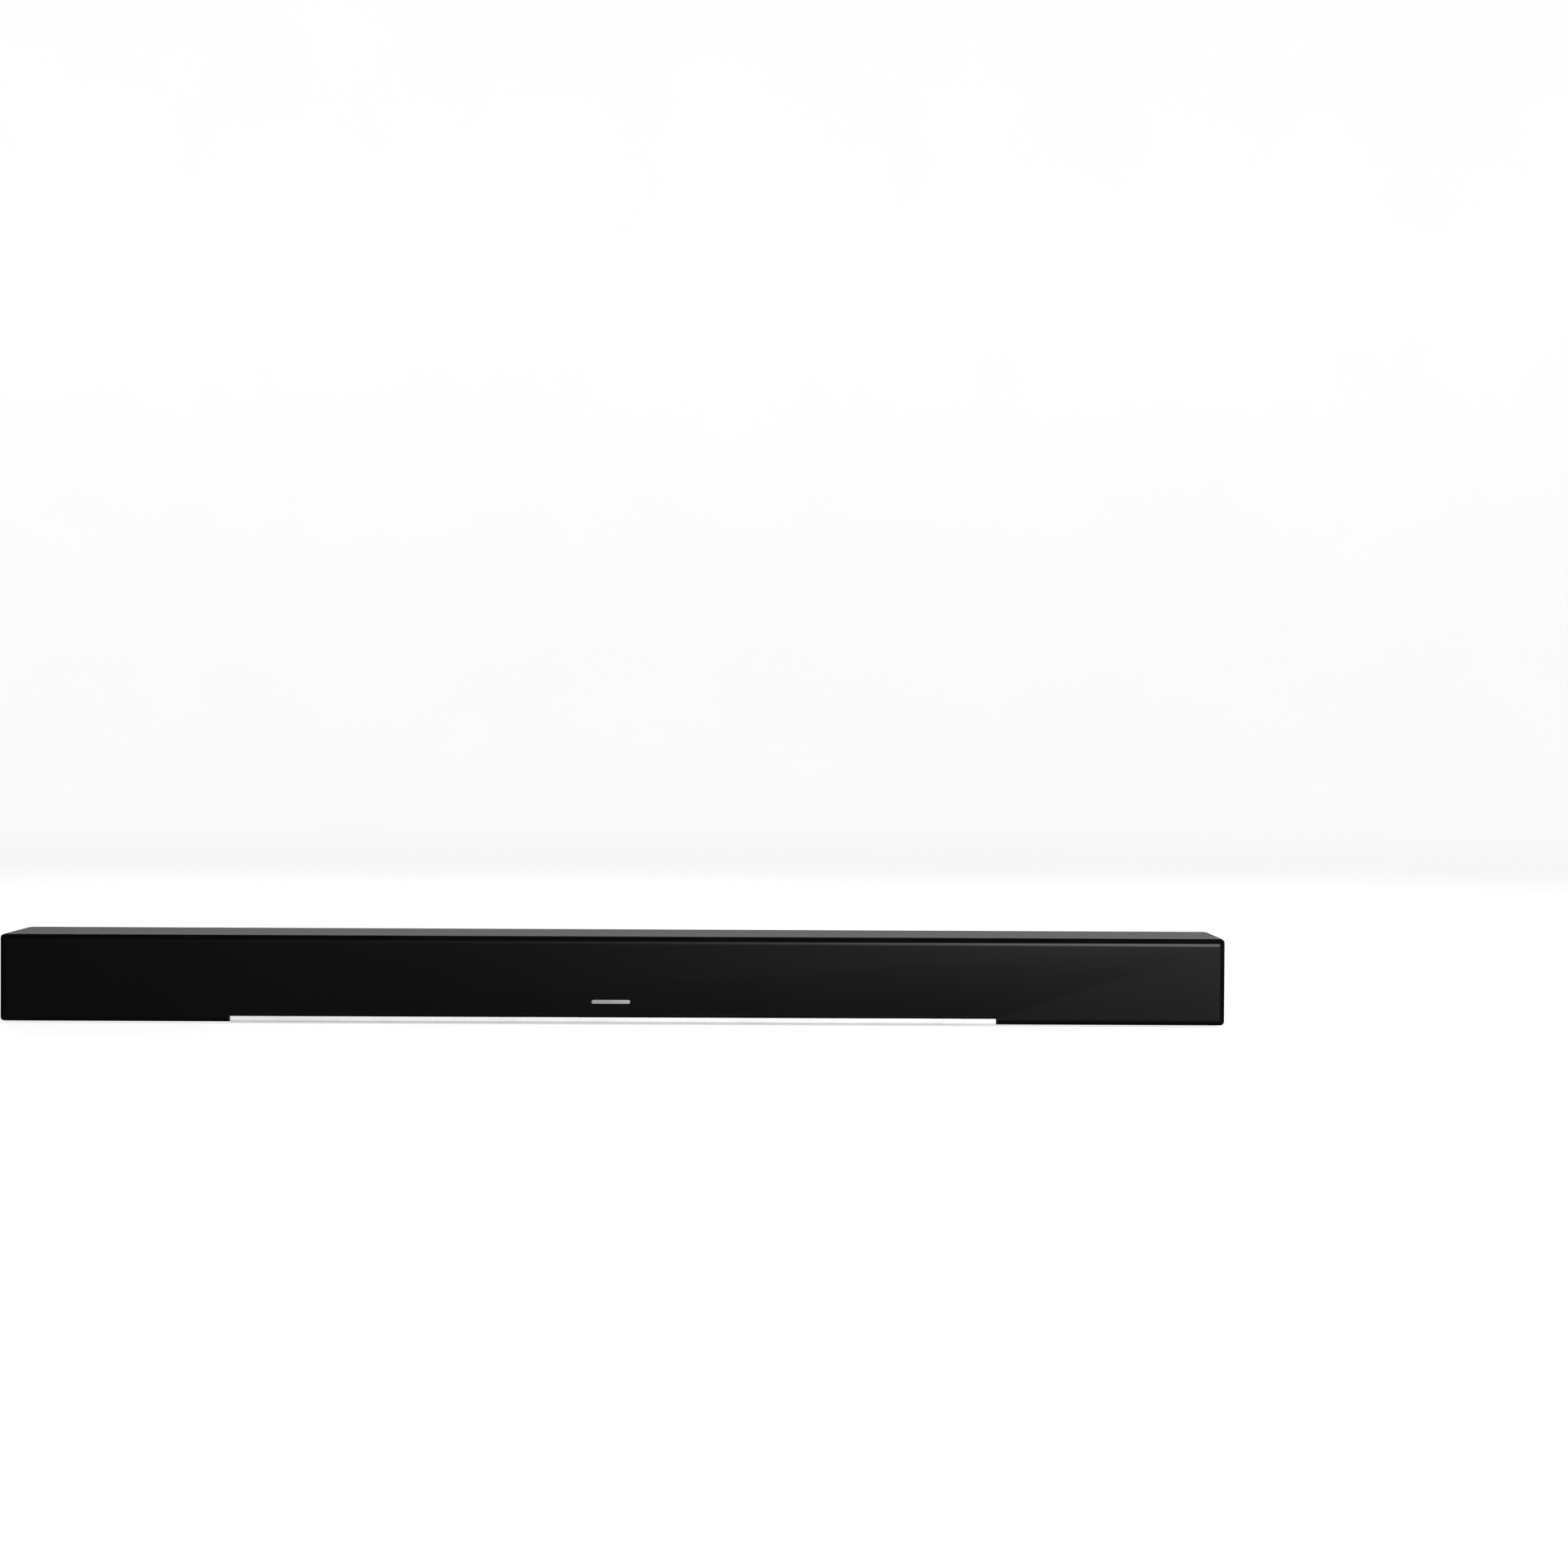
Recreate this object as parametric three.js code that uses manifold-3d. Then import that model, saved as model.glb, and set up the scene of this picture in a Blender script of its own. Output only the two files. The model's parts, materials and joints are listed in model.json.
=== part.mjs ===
// Soundbar: a slim active loudspeaker of six case panels, with two racetrack woofers, two tweeters,
// an amplifier, a power supply, rear sockets and four push buttons.
// Millimetres. X runs along the bar, the front faces -Y and Z is up; the origin is on the table
// under the middle of the bar.
import * as THREE from 'three';
import { mergeVertices } from 'three/addons/utils/BufferGeometryUtils.js';
import Module from 'manifold-3d';

// Driving dimensions
const LENGTH = 950;
const DEPTH = 88;
const HEIGHT = 69;
const FOOT_LIFT = 1.8; // the case's clearance above the table
const WALL = 2.5;
const GAP = 0.3; // air between touching pieces
const CORNER = 3; // the case's rounded corners, seen from the front

// Case panels
const FRONT = -DEPTH / 2;
const BACK = DEPTH / 2;
const HALF = LENGTH / 2;
const COVER_THICK = 2.2;
const COVER_UNDER = HEIGHT - COVER_THICK;
const WALL_TOP = COVER_UNDER - GAP;
const PAN_TOP = FOOT_LIFT + WALL;
const BACK_INNER = BACK - WALL;
const CAP_INNER = HALF - WALL;

// Front stack, from the cloth back to the baffle
const CLOTH_FRONT = FRONT + 0.8;
const CLOTH_THICK = 0.5;
const CLOTH_EDGE = 3.4; // height of the cloth's rounded edge
const GRILLE_DEPTH = 2.5; // how far the grille stands out of the lip
const LIP_SHOWN = 2.2; // lip seen beside the grille
const GRILLE_TOP = HEIGHT - 2.8;
const GRILLE_BOTTOM = FOOT_LIFT + 0.8;
const CLOTH_BACK = CLOTH_FRONT + GRILLE_DEPTH;
const LIP_FRONT = CLOTH_BACK + GAP;
const FRAME_FRONT = CLOTH_FRONT + CLOTH_THICK + GAP;
const FRAME_BACK = LIP_FRONT - 0.4;
const BAFFLE_FRONT = -36;
const BAFFLE_BACK = -33;
const LIP_WALL = 3.1;
const THROUGH_FRONT = [FRONT - 1, 0]; // reach of a cut right through the front panels

// Grille frame windows: equal bays with a rib between each two
const BAY_COUNT = 11;
const BAY_PITCH = 86;
const RIB = 6;
const WINDOW = { bottom: 10, top: 58, corner: 4 };
const PEG = { bays: [0.5, 2.5, 4.5], radius: 2.2, hole: 2.6 };

// Trim strip and badge
const STRIP_HALF = 297;
const STRIP = {
  bottom: 1.3, knee: 3.2, top: 6.3, front: FRONT + 0.3, back: BAFFLE_FRONT - 1.2, lean: 1.3, round: 0.6,
};
const BADGE = { x: -2, z: 18.5, width: 30, height: 3, corner: 1.45 };

// Loudspeaker drivers
const WOOFER_X = 330;
const WOOFER_Z = 34;
const STRAIGHT = 22; // half the straight side of the racetrack
const WOOFER_HOLE = 21;
const TWEETER_X = 420;
const TWEETER_HOLE = 14;
const BASKET_BACK = 22.4; // depths run back from the baffle's front face

// Boards and sockets
const BOARD_Z = 13;
const BOARD_THICK = 1.6;
const PART_Z = BOARD_Z + BOARD_THICK + GAP;
const MAIN_BOARD = { x: [-60, 170], y: [-24, 18] };
const POWER_BOARD = { x: [-240, -120], y: [-24, 18] };
const POST = { radius: 3, inX: 7, inY: 6 }; // board supports, in from the board's corners
const DISPLAY = { x: 170, z: 34, width: 60, height: 16, corner: 2 };
const SIGNAL_BAY = [20, 150];
const POWER_BAY = [-205, -145];
const BAY_FLOOR = 21.2;
const BAY_TOP = 40.4;
const BAY_WALL = 1.6;
const SOCKET_MOUTH = 22.4;
const SOCKET_REAR = 8;
const SOCKETS = {
  hdmi_socket: { x: 43.5, width: 15, height: 6 },
  optical_socket: { x: 67, width: 10, height: 10 },
  aux_jack: { x: 88.5, width: 9, height: 9 },
  usb_socket: { x: 113.5, width: 14.5, height: 7 },
};
const INLET = { x: -175, width: 24, height: 16, rear: 6, wellDeep: 14, pinPitch: 8.6 };

// Push buttons in the right end cap
const BUTTONS = ['source_button', 'volume_down_button', 'volume_up_button', 'power_button'];
const BUTTON_PITCH = 14;
const BUTTON_Y = 5;
const BUTTON_Z = 38;
const BUTTON = { width: 11, height: 7, out: HALF - 0.3, flange: CAP_INNER - 0.5 };
const POCKET = { width: 66, height: 15, depth: 1.2 };
const SWITCH_TOP = 467.4;
const BUTTON_TRAVEL = 0.7;
const KEY_BOARD = { x: [463.6, 465.2], y: [-30, 40], z: [30, 46] };
const KEY_POSTS = [KEY_BOARD.y[0] + 3, KEY_BOARD.y[1] - 3];

// Fixings
const BRACKET_X = 300;
const BRACKET = { width: 64, height: 34, z: 47, thick: 1.6, windowWidth: 44, windowHeight: 24 };
const KEYHOLE = { low: 41, high: 52, head: 5, neck: 2.75 };
const SCREW_X = [-240, 0, 240];
const SCREW_Y = [-28, 37];
const SCREW = { shank: 1.35, hole: 1.75, clear: 1.9, head: 3, headHole: 3.4, headThick: 1.2, sunk: 1.6 };
const BOSS = { half: 5, height: 8 };
const FEET = { foot_front_left: [-420, -13], foot_front_right: [420, -13],
  foot_rear_left: [-420, 32], foot_rear_right: [420, 32] };
const FOOT = { radius: 9, round: 0.8, height: 2.3, seat: 0.8 };
const THROUGH_BACK = [BACK - 14, BACK + 16]; // reach of a cut right through the back panel

// Wiring
const WOOFER_WIRE = 1.2;
const KEY_WIRE = 1.5;
const MAINS_WIRE = 1.3;

const wasm = await Module();
wasm.setup();

// ---- solids ----

function solid(geometry) {
  const bare = geometry.clone();
  bare.deleteAttribute('normal');
  bare.deleteAttribute('uv');
  const merged = mergeVertices(bare, 1e-4);
  return new wasm.Manifold(new wasm.Mesh({
    numProp: 3,
    vertProperties: merged.attributes.position.array,
    triVerts: Uint32Array.from(merged.index.array),
  }));
}

function geometryOf(manifold) {
  const mesh = manifold.getMesh();
  const geometry = new THREE.BufferGeometry();
  geometry.setAttribute('position', new THREE.BufferAttribute(Float32Array.from(mesh.vertProperties), 3));
  geometry.setIndex(new THREE.BufferAttribute(Uint32Array.from(mesh.triVerts), 1));
  geometry.computeVertexNormals();
  return geometry;
}

function join(...pieces) {
  return geometryOf(pieces.map(solid).reduce((whole, piece) => whole.add(piece)));
}

function cut(body, ...tools) {
  return geometryOf(tools.map(solid).reduce((whole, tool) => whole.subtract(tool), solid(body)));
}

function block(x, y, z) {
  const box = new THREE.BoxGeometry(x[1] - x[0], y[1] - y[0], z[1] - z[0]);
  return box.translate((x[0] + x[1]) / 2, (y[0] + y[1]) / 2, (z[0] + z[1]) / 2);
}

function rodX(y, z, radius, x, sides = 16) {
  const rod = new THREE.CylinderGeometry(radius, radius, x[1] - x[0], sides).rotateZ(Math.PI / 2);
  return rod.translate((x[0] + x[1]) / 2, y, z);
}

function rodY(x, z, radius, y, sides = 16) {
  return new THREE.CylinderGeometry(radius, radius, y[1] - y[0], sides).translate(x, (y[0] + y[1]) / 2, z);
}

function rodZ(x, y, radius, z, sides = 16) {
  const rod = new THREE.CylinderGeometry(radius, radius, z[1] - z[0], sides).rotateX(Math.PI / 2);
  return rod.translate(x, y, (z[0] + z[1]) / 2);
}

function roundedRect(u, v, width, height, radius) {
  const [u0, u1, v0, v1] = [u - width / 2, u + width / 2, v - height / 2, v + height / 2];
  return new THREE.Shape()
    .moveTo(u0 + radius, v0).lineTo(u1 - radius, v0).absarc(u1 - radius, v0 + radius, radius, -Math.PI / 2, 0)
    .lineTo(u1, v1 - radius).absarc(u1 - radius, v1 - radius, radius, 0, Math.PI / 2)
    .lineTo(u0 + radius, v1).absarc(u0 + radius, v1 - radius, radius, Math.PI / 2, Math.PI)
    .lineTo(u0, v0 + radius).absarc(u0 + radius, v0 + radius, radius, Math.PI, Math.PI * 1.5);
}

function polygon(points) {
  return new THREE.Shape(points.map(([u, v]) => new THREE.Vector2(u, v)));
}

function extrude(shape, depth, curveSegments) {
  return new THREE.ExtrudeGeometry(shape, { depth, bevelEnabled: false, curveSegments });
}

// A plate whose outline lies in YZ and which runs along X, and the same for the other two axes
function plateX(shape, x, curveSegments = 2) {
  const turn = new THREE.Matrix4().makeBasis(
    new THREE.Vector3(0, 1, 0), new THREE.Vector3(0, 0, 1), new THREE.Vector3(1, 0, 0));
  return extrude(shape, x[1] - x[0], curveSegments).applyMatrix4(turn).translate(x[0], 0, 0);
}

function plateY(shape, y, curveSegments = 2) {
  return extrude(shape, y[1] - y[0], curveSegments).rotateX(Math.PI / 2).translate(0, y[1], 0);
}

// Skin over rings of points: closed end to end as a tube's section, or capped at both ends
function loft(rings, closed = false) {
  const count = rings[0].length;
  const points = rings.flat();
  const index = [];
  const spans = closed ? rings.length : rings.length - 1;
  for (let r = 0; r < spans; r++) {
    const next = (r + 1) % rings.length;
    for (let i = 0; i < count; i++) {
      const j = (i + 1) % count;
      const [a, b, c, d] = [r * count + i, r * count + j, next * count + j, next * count + i];
      index.push(a, b, c, a, c, d);
    }
  }
  if (!closed) {
    const last = (rings.length - 1) * count;
    for (let i = 1; i < count - 1; i++) {
      index.push(0, i + 1, i, last, last + i, last + i + 1);
    }
  }
  return facingOut(points, index);
}

function facingOut(points, index) {
  let volume = 0;
  for (let t = 0; t < index.length; t += 3) {
    const [a, b, c] = index.slice(t, t + 3).map((i) => points[i]);
    volume += a.dot(b.clone().cross(c));
  }
  if (volume < 0) index.reverse();
  const geometry = new THREE.BufferGeometry().setFromPoints(points);
  geometry.setIndex(index);
  geometry.computeVertexNormals();
  return geometry;
}

// A plate with one rounded face. Its outline is centred on (u, v); levels run from the flat back face
// to the rounded front face, and place() puts a point (u, v, level) in space.
function softPlate({ u = 0, v = 0, width, height, corner, back, front, edge, place, steps = 4 }) {
  const levels = [[back, 0]];
  const rise = Math.sign(front - back) * Math.min(Math.abs(front - back), edge.rise ?? edge.inset);
  for (let i = 0; i <= steps; i++) {
    const angle = (i / steps) * Math.PI / 2;
    levels.push([front - rise * (1 - Math.sin(angle)), edge.inset * (1 - Math.cos(angle))]);
  }
  const rings = levels.filter(([level], i) => i === 0 || Math.abs(level - levels[0][0]) > 1e-6)
    .map(([level, inset]) => {
      const outline = roundedRect(u, v, width - 2 * inset, height - 2 * inset, Math.max(corner - inset, 0.4));
      return outline.getPoints(2).slice(0, -1).map((p) => place(p.x, p.y, level));
    });
  return loft(rings);
}

const ON_FRONT = (u, v, level) => new THREE.Vector3(u, level, v);
const ON_TOP = (u, v, level) => new THREE.Vector3(u, v, level);
const ON_SIDE = (u, v, level) => new THREE.Vector3(level, u, v);

// Racetrack ring of radius r whose ends are 2a apart, at depth y
function racetrack({ r, a, y }, segments = 7) {
  const ring = [];
  for (const side of [1, -1]) {
    for (let i = 0; i <= segments; i++) {
      const angle = -side * Math.PI / 2 + (i / segments) * Math.PI;
      ring.push(new THREE.Vector3(side * a + r * Math.cos(angle), y, r * Math.sin(angle)));
    }
  }
  return ring;
}

function racetrackSolid(profile, closed = false) {
  return loft(profile.map(([r, a, y]) => racetrack({ r, a, y })), closed);
}

function turned(profile, segments = 20) {
  const points = profile.map(([r, y]) => new THREE.Vector2(r, y));
  return new THREE.LatheGeometry(points, segments);
}

// Round cable through the given points
function tube(points, radius) {
  const curve = new THREE.CatmullRomCurve3(points.map((p) => new THREE.Vector3(...p)));
  const steps = Math.min(60, Math.ceil(curve.getLength() / (radius * 6)));
  const section = new THREE.Shape().absarc(0, 0, radius, 0, Math.PI * 2);
  return new THREE.ExtrudeGeometry(section, {
    steps, curveSegments: 4, bevelEnabled: false, extrudePath: curve,
  });
}

// ---- materials ----

const finish = (color, roughness, metalness = 0) =>
  new THREE.MeshStandardMaterial({ color, roughness, metalness });
const BLACK_PLASTIC = finish(0x16171a, 0.55);
const COVER_PLASTIC = finish(0x4b4d52, 0.5);
const CLOTH = finish(0x101114, 0.95);
const CHROME = finish(0xd8dadd, 0.18, 1);
const RUBBER = finish(0x1a1a1a, 0.9);
const STEEL = finish(0x8a8d92, 0.4, 1);
const FERRITE = finish(0x2c2c2e, 0.6);
const PAPER_CONE = finish(0x222326, 0.85);
const SILK = finish(0x2a2a30, 0.8);
const BOARD_GREEN = finish(0x1f5a34, 0.6);
const ALUMINIUM = finish(0xa9acb0, 0.4, 1);
const WINDING = finish(0xc9a646, 0.6);
const SMOKED = finish(0x1b1c20, 0.1);
const WIRE = finish(0x7c1f1f, 0.6);

const group = new THREE.Group();

function add(name, geometry, material, [x, y, z] = [0, 0, 0]) {
  const mesh = new THREE.Mesh(geometry, material);
  mesh.name = name;
  mesh.position.set(x, y, z);
  group.add(mesh);
}

// ---- front ----

const stripNotch = (clearance, y) =>
  block([-STRIP_HALF - clearance, STRIP_HALF + clearance], y, [0, STRIP.top + clearance]);

// The grille's outer shape, shrunk by `inset` for the layers inside it
function grilleBody(inset, back, front) {
  return softPlate({
    v: (GRILLE_TOP + GRILLE_BOTTOM) / 2,
    width: LENGTH - 2 * (LIP_SHOWN + inset),
    height: GRILLE_TOP - GRILLE_BOTTOM - 2 * inset,
    corner: CORNER,
    back,
    front,
    edge: { inset: CLOTH_EDGE, rise: GRILLE_DEPTH - inset },
    place: ON_FRONT,
  });
}

function grilleCloth() {
  const inner = grilleBody(CLOTH_THICK, CLOTH_BACK + 1, CLOTH_FRONT + CLOTH_THICK);
  return cut(grilleBody(0, CLOTH_BACK, CLOTH_FRONT), inner, stripNotch(GAP, [FRONT, 0]));
}

const pegPlaces = PEG.bays.flatMap((bay) => [-bay * BAY_PITCH, bay * BAY_PITCH]);

function grilleFrame() {
  const middle = (WINDOW.top + WINDOW.bottom) / 2;
  const windows = [];
  for (let i = 0; i < BAY_COUNT; i++) {
    const x = (i - (BAY_COUNT - 1) / 2) * BAY_PITCH;
    const outline = roundedRect(x, middle, BAY_PITCH - RIB, WINDOW.top - WINDOW.bottom, WINDOW.corner);
    windows.push(plateY(outline, THROUGH_FRONT, 1));
  }
  const pegs = pegPlaces.map((x) => rodY(x, WOOFER_Z, PEG.radius, [FRAME_BACK - 0.5, BAFFLE_BACK - 0.5], 10));
  const body = grilleBody(CLOTH_THICK + GAP, FRAME_BACK, FRAME_FRONT);
  const plate = cut(body, ...windows, stripNotch(2 * GAP, [FRONT, 0]));
  return join(plate, ...pegs);
}

// A square boss that a case screw bites into, from y0 to y1, and the hole in it
const screwBoss = (x, y0, y1) =>
  block([x - BOSS.half, x + BOSS.half], [y0, y1], [PAN_TOP + GAP, PAN_TOP + BOSS.height]);
const screwHole = (x, y) => rodZ(x, y, SCREW.hole, [PAN_TOP - 1, PAN_TOP + BOSS.height - 1], 10);

function frontBaffle() {
  const outline = roundedRect(0, (HEIGHT + FOOT_LIFT) / 2, LENGTH, HEIGHT - FOOT_LIFT, CORNER);
  const coverSeat = block([-CAP_INNER, CAP_INNER], [LIP_FRONT + 1, 0], [WALL_TOP, HEIGHT + 1]);
  const opening = block([-HALF + LIP_WALL + 1, HALF - LIP_WALL - 1], [LIP_FRONT - 1, BAFFLE_FRONT],
    [FOOT_LIFT + LIP_WALL, COVER_UNDER - LIP_WALL]);
  const holes = pegPlaces.map((x) => rodY(x, WOOFER_Z, PEG.hole, THROUGH_FRONT, 10));
  for (const side of [-1, 1]) {
    const woofer = racetrackSolid(THROUGH_FRONT.map((y) => [WOOFER_HOLE, STRAIGHT, y]));
    holes.push(woofer.translate(side * WOOFER_X, 0, WOOFER_Z));
    holes.push(rodY(side * TWEETER_X, WOOFER_Z, TWEETER_HOLE, THROUGH_FRONT, 24));
  }
  holes.push(plateY(
    roundedRect(DISPLAY.x, DISPLAY.z, DISPLAY.width, DISPLAY.height, DISPLAY.corner), THROUGH_FRONT, 1));
  const shell = cut(plateY(outline, [LIP_FRONT, BAFFLE_BACK], 4), opening, coverSeat, ...holes,
    stripNotch(GAP, [LIP_FRONT - 1, STRIP.back + GAP]));
  const bosses = SCREW_X.map((x) => screwBoss(x, BAFFLE_BACK - 0.5, SCREW_Y[0] + BOSS.half));
  return cut(join(shell, ...bosses), ...SCREW_X.map((x) => screwHole(x, SCREW_Y[0])));
}

// A bar with a rounded upper front edge, an upright face and a lower face that leans under the case
function trimStrip() {
  const { bottom, knee, top, front, back, lean, round } = STRIP;
  const section = new THREE.Shape()
    .moveTo(back, bottom).lineTo(back, top).lineTo(front + round, top)
    .absarc(front + round, top - round, round, Math.PI / 2, Math.PI)
    .lineTo(front, knee).lineTo(front + lean, bottom);
  return plateX(section, [-STRIP_HALF, STRIP_HALF], 4);
}

function badge() {
  return softPlate({
    u: BADGE.x, v: BADGE.z, width: BADGE.width, height: BADGE.height, corner: BADGE.corner, steps: 2,
    back: CLOTH_FRONT - GAP, front: FRONT, edge: { inset: 0.3 }, place: ON_FRONT,
  });
}

function displayLens() {
  const width = DISPLAY.width - 2 * GAP;
  const height = DISPLAY.height - 2 * GAP;
  const outline = roundedRect(DISPLAY.x, DISPLAY.z, width, height, DISPLAY.corner);
  return plateY(outline, [BAFFLE_FRONT + 0.2, BAFFLE_BACK - 0.2], 1);
}

add('front_baffle', frontBaffle(), BLACK_PLASTIC);
add('grille_frame', grilleFrame(), BLACK_PLASTIC);
add('grille_cloth', grilleCloth(), CLOTH);
add('silver_trim_strip', trimStrip(), CHROME);
add('front_badge', badge(), CHROME);
add('display_lens', displayLens(), SMOKED);

// ---- case ----

const panelFront = BAFFLE_BACK + GAP;
const panelBack = BACK_INNER - GAP;
const insideHalf = CAP_INNER - GAP;
const bayOuter = ([x0, x1]) => [x0 - BAY_WALL, x1 + BAY_WALL];
const BAYS = [SIGNAL_BAY, POWER_BAY];

// The cover lies between the end caps and behind the lip
function topCover() {
  const front = LIP_FRONT + 1 + GAP;
  return softPlate({
    v: (front + BACK) / 2, width: 2 * insideHalf, height: BACK - front, corner: 1.2,
    back: COVER_UNDER, front: HEIGHT, edge: { inset: 0.6 }, place: ON_TOP,
  });
}

function bottomPan() {
  const plate = block([-insideHalf, insideHalf], [panelFront, panelBack], [FOOT_LIFT, PAN_TOP]);
  const notches = BAYS.map((bay) => {
    const [x0, x1] = bayOuter(bay);
    return block([x0 - GAP, x1 + GAP], [BAY_FLOOR - BAY_WALL - GAP, BACK], [0, PAN_TOP + 1]);
  });
  const screws = SCREW_X.flatMap((x) => SCREW_Y.flatMap((y) => [
    rodZ(x, y, SCREW.clear, [0, PAN_TOP + 1], 10),
    rodZ(x, y, SCREW.headHole, [0, FOOT_LIFT + SCREW.sunk], 16),
  ]));
  const seats = Object.values(FEET).map(([x, y]) =>
    rodZ(x, y, FOOT.radius + GAP, [0, FOOT_LIFT + FOOT.seat], 24));
  const posts = [MAIN_BOARD, POWER_BOARD].flatMap(({ x: [x0, x1], y: [y0, y1] }) =>
    [x0 + POST.inX, x1 - POST.inX].flatMap((x) => [y0 + POST.inY, y1 - POST.inY].map((y) =>
      rodZ(x, y, POST.radius, [PAN_TOP - 0.5, BOARD_Z - GAP], 12))));
  return join(cut(plate, ...notches, ...screws, ...seats), ...posts);
}

function backPanel() {
  const plate = block([-insideHalf, insideHalf], [BACK_INNER, BACK], [FOOT_LIFT, WALL_TOP]);
  const notches = BAYS.map((bay) => block(bay, THROUGH_BACK, [0, BAY_TOP]));
  const windows = [-BRACKET_X, BRACKET_X].map((x) =>
    plateY(roundedRect(x, BRACKET.z, BRACKET.windowWidth, BRACKET.windowHeight, 3), THROUGH_BACK));
  const bosses = SCREW_X.map((x) => screwBoss(x, SCREW_Y[1] - BOSS.half, BACK_INNER + 0.5));
  const holes = SCREW_X.map((x) => screwHole(x, SCREW_Y[1]));
  return cut(join(cut(plate, ...notches, ...windows), ...bosses), ...holes);
}

// A plate rounded on its outer edges and cut square where it meets the baffle
function endCap(side) {
  const place = (u, v, level) => new THREE.Vector3(side * level, side * u, v);
  const front = panelFront - CORNER;
  const plate = softPlate({
    u: side * (front + BACK) / 2, v: (FOOT_LIFT + HEIGHT) / 2,
    width: BACK - front, height: HEIGHT - FOOT_LIFT, corner: CORNER + 0.5,
    back: CAP_INNER, front: HALF, edge: { inset: CORNER, rise: WALL - 0.1 }, place, steps: 4,
  });
  return cut(plate, block([-HALF - 1, HALF + 1], [front - 1, panelFront], [0, HEIGHT + 1]));
}

const firstButton = BUTTON_Y - ((BUTTONS.length - 1) / 2) * BUTTON_PITCH;
const buttonPlaces = BUTTONS.map((name, i) => [name, firstButton + i * BUTTON_PITCH]);

function rightEndCap() {
  const pocket = plateX(
    roundedRect(BUTTON_Y, BUTTON_Z, POCKET.width, POCKET.height, 5), [HALF - POCKET.depth, HALF + 1]);
  const [width, height] = [BUTTON.width + 2 * GAP, BUTTON.height + 2 * GAP];
  const holes = buttonPlaces.map(([, y]) =>
    plateX(roundedRect(y, BUTTON_Z, width, height, 3.8), [CAP_INNER - 1, HALF + 1]));
  const posts = KEY_POSTS.map((y) => rodX(y, BUTTON_Z, 2.5, [KEY_BOARD.x[1] + GAP, CAP_INNER + 0.5], 12));
  return join(cut(endCap(1), pocket, ...holes), ...posts);
}

function foot() {
  const { radius, round, height } = FOOT;
  return turned([[0, 0], [radius - round, 0], [radius, round], [radius, height], [0, height]]);
}

add('top_cover', topCover(), COVER_PLASTIC);
add('bottom_pan', bottomPan(), BLACK_PLASTIC);
add('back_panel', backPanel(), BLACK_PLASTIC);
add('left_end_cap', endCap(-1), BLACK_PLASTIC);
add('right_end_cap', rightEndCap(), BLACK_PLASTIC);
for (const [name, [x, y]] of Object.entries(FEET)) {
  add(name, foot().rotateX(Math.PI / 2), RUBBER, [x, y, 0]);
}

// A tray sunk into the back, open behind and below, with a hole in its floor for each socket
function bayTray(bay, sockets) {
  const [x0, x1] = bayOuter(bay);
  const outer = block([x0, x1], [BAY_FLOOR - BAY_WALL, panelBack], [FOOT_LIFT, BAY_TOP + BAY_WALL]);
  const space = block(bay, [BAY_FLOOR, BACK], [0, BAY_TOP]);
  const holes = sockets.map(({ x, width, height }) => block(
    [x - width / 2 - GAP, x + width / 2 + GAP], [0, BACK], [PART_Z - GAP, PART_Z + height + GAP]));
  return cut(outer, space, ...holes);
}

add('signal_bay', bayTray(SIGNAL_BAY, Object.values(SOCKETS)), BLACK_PLASTIC);
add('power_bay', bayTray(POWER_BAY, [INLET]), BLACK_PLASTIC);

// ---- buttons ----

function pushButton(y) {
  const { width, height, out, flange } = BUTTON;
  const cap = softPlate({
    u: y, v: BUTTON_Z, width, height, corner: 3.4, back: flange - 0.6, front: out,
    edge: { inset: 0.6 }, place: ON_SIDE, steps: 3,
  });
  const collar = plateX(roundedRect(y, BUTTON_Z, width + 2, height + 2, 4), [flange - 1.2, flange]);
  const stem = rodX(y, BUTTON_Z, 1.5, [SWITCH_TOP + BUTTON_TRAVEL + 0.1, flange - 0.6], 12);
  return join(cap, collar, stem);
}

for (const [name, y] of buttonPlaces) add(name, pushButton(y), BLACK_PLASTIC);

// ---- drivers ----

// Profiles of racetrack rings: radius, half the distance between the end centres, and depth
const BASKET = [
  [25, STRAIGHT, -1.9], [25, STRAIGHT, -GAP], [20.5, STRAIGHT, -GAP], [20.5, STRAIGHT, 5],
  [16, 4, BASKET_BACK],
  [9.6, 0.2, BASKET_BACK], [9.6, 0.2, 20.8], [15, 3, 20.8], [19.2, STRAIGHT, 4.6], [19.2, STRAIGHT, -1.9],
];
const CONE = [
  [0.8, 0.4, 4], [5, 0.4, 4.6], [8.2, 1, 6.6], [17.2, STRAIGHT, -1.9], [17.2, STRAIGHT, -1.1],
  [9.2, 1.6, 8.6], [8.7, 0.2, 9.6], [8.7, 0.2, 26], [0.8, 0.2, 26],
];

const SURROUND = {
  outside: 23.6, inside: 15.8, middle: 19.2, roll: 1.9, skin: 0.4, rest: -2.2, flatten: 0.85, steps: 4,
};

// A half-round roll between the cone's rim and the basket's flange
function surroundProfile() {
  const { outside, inside, middle, roll, skin, rest, flatten, steps } = SURROUND;
  const arch = (radius, depth) => Array.from({ length: steps + 1 }, (_, i) => {
    const angle = (i / steps) * Math.PI;
    return [middle + radius * Math.cos(angle), STRAIGHT, depth - radius * Math.sin(angle) * flatten];
  });
  return [
    [outside, STRAIGHT, rest - skin], ...arch(roll, rest - skin),
    [inside, STRAIGHT, rest - skin], [inside, STRAIGHT, rest],
    ...arch(roll - skin, rest).reverse(), [outside, STRAIGHT, rest],
  ];
}

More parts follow.
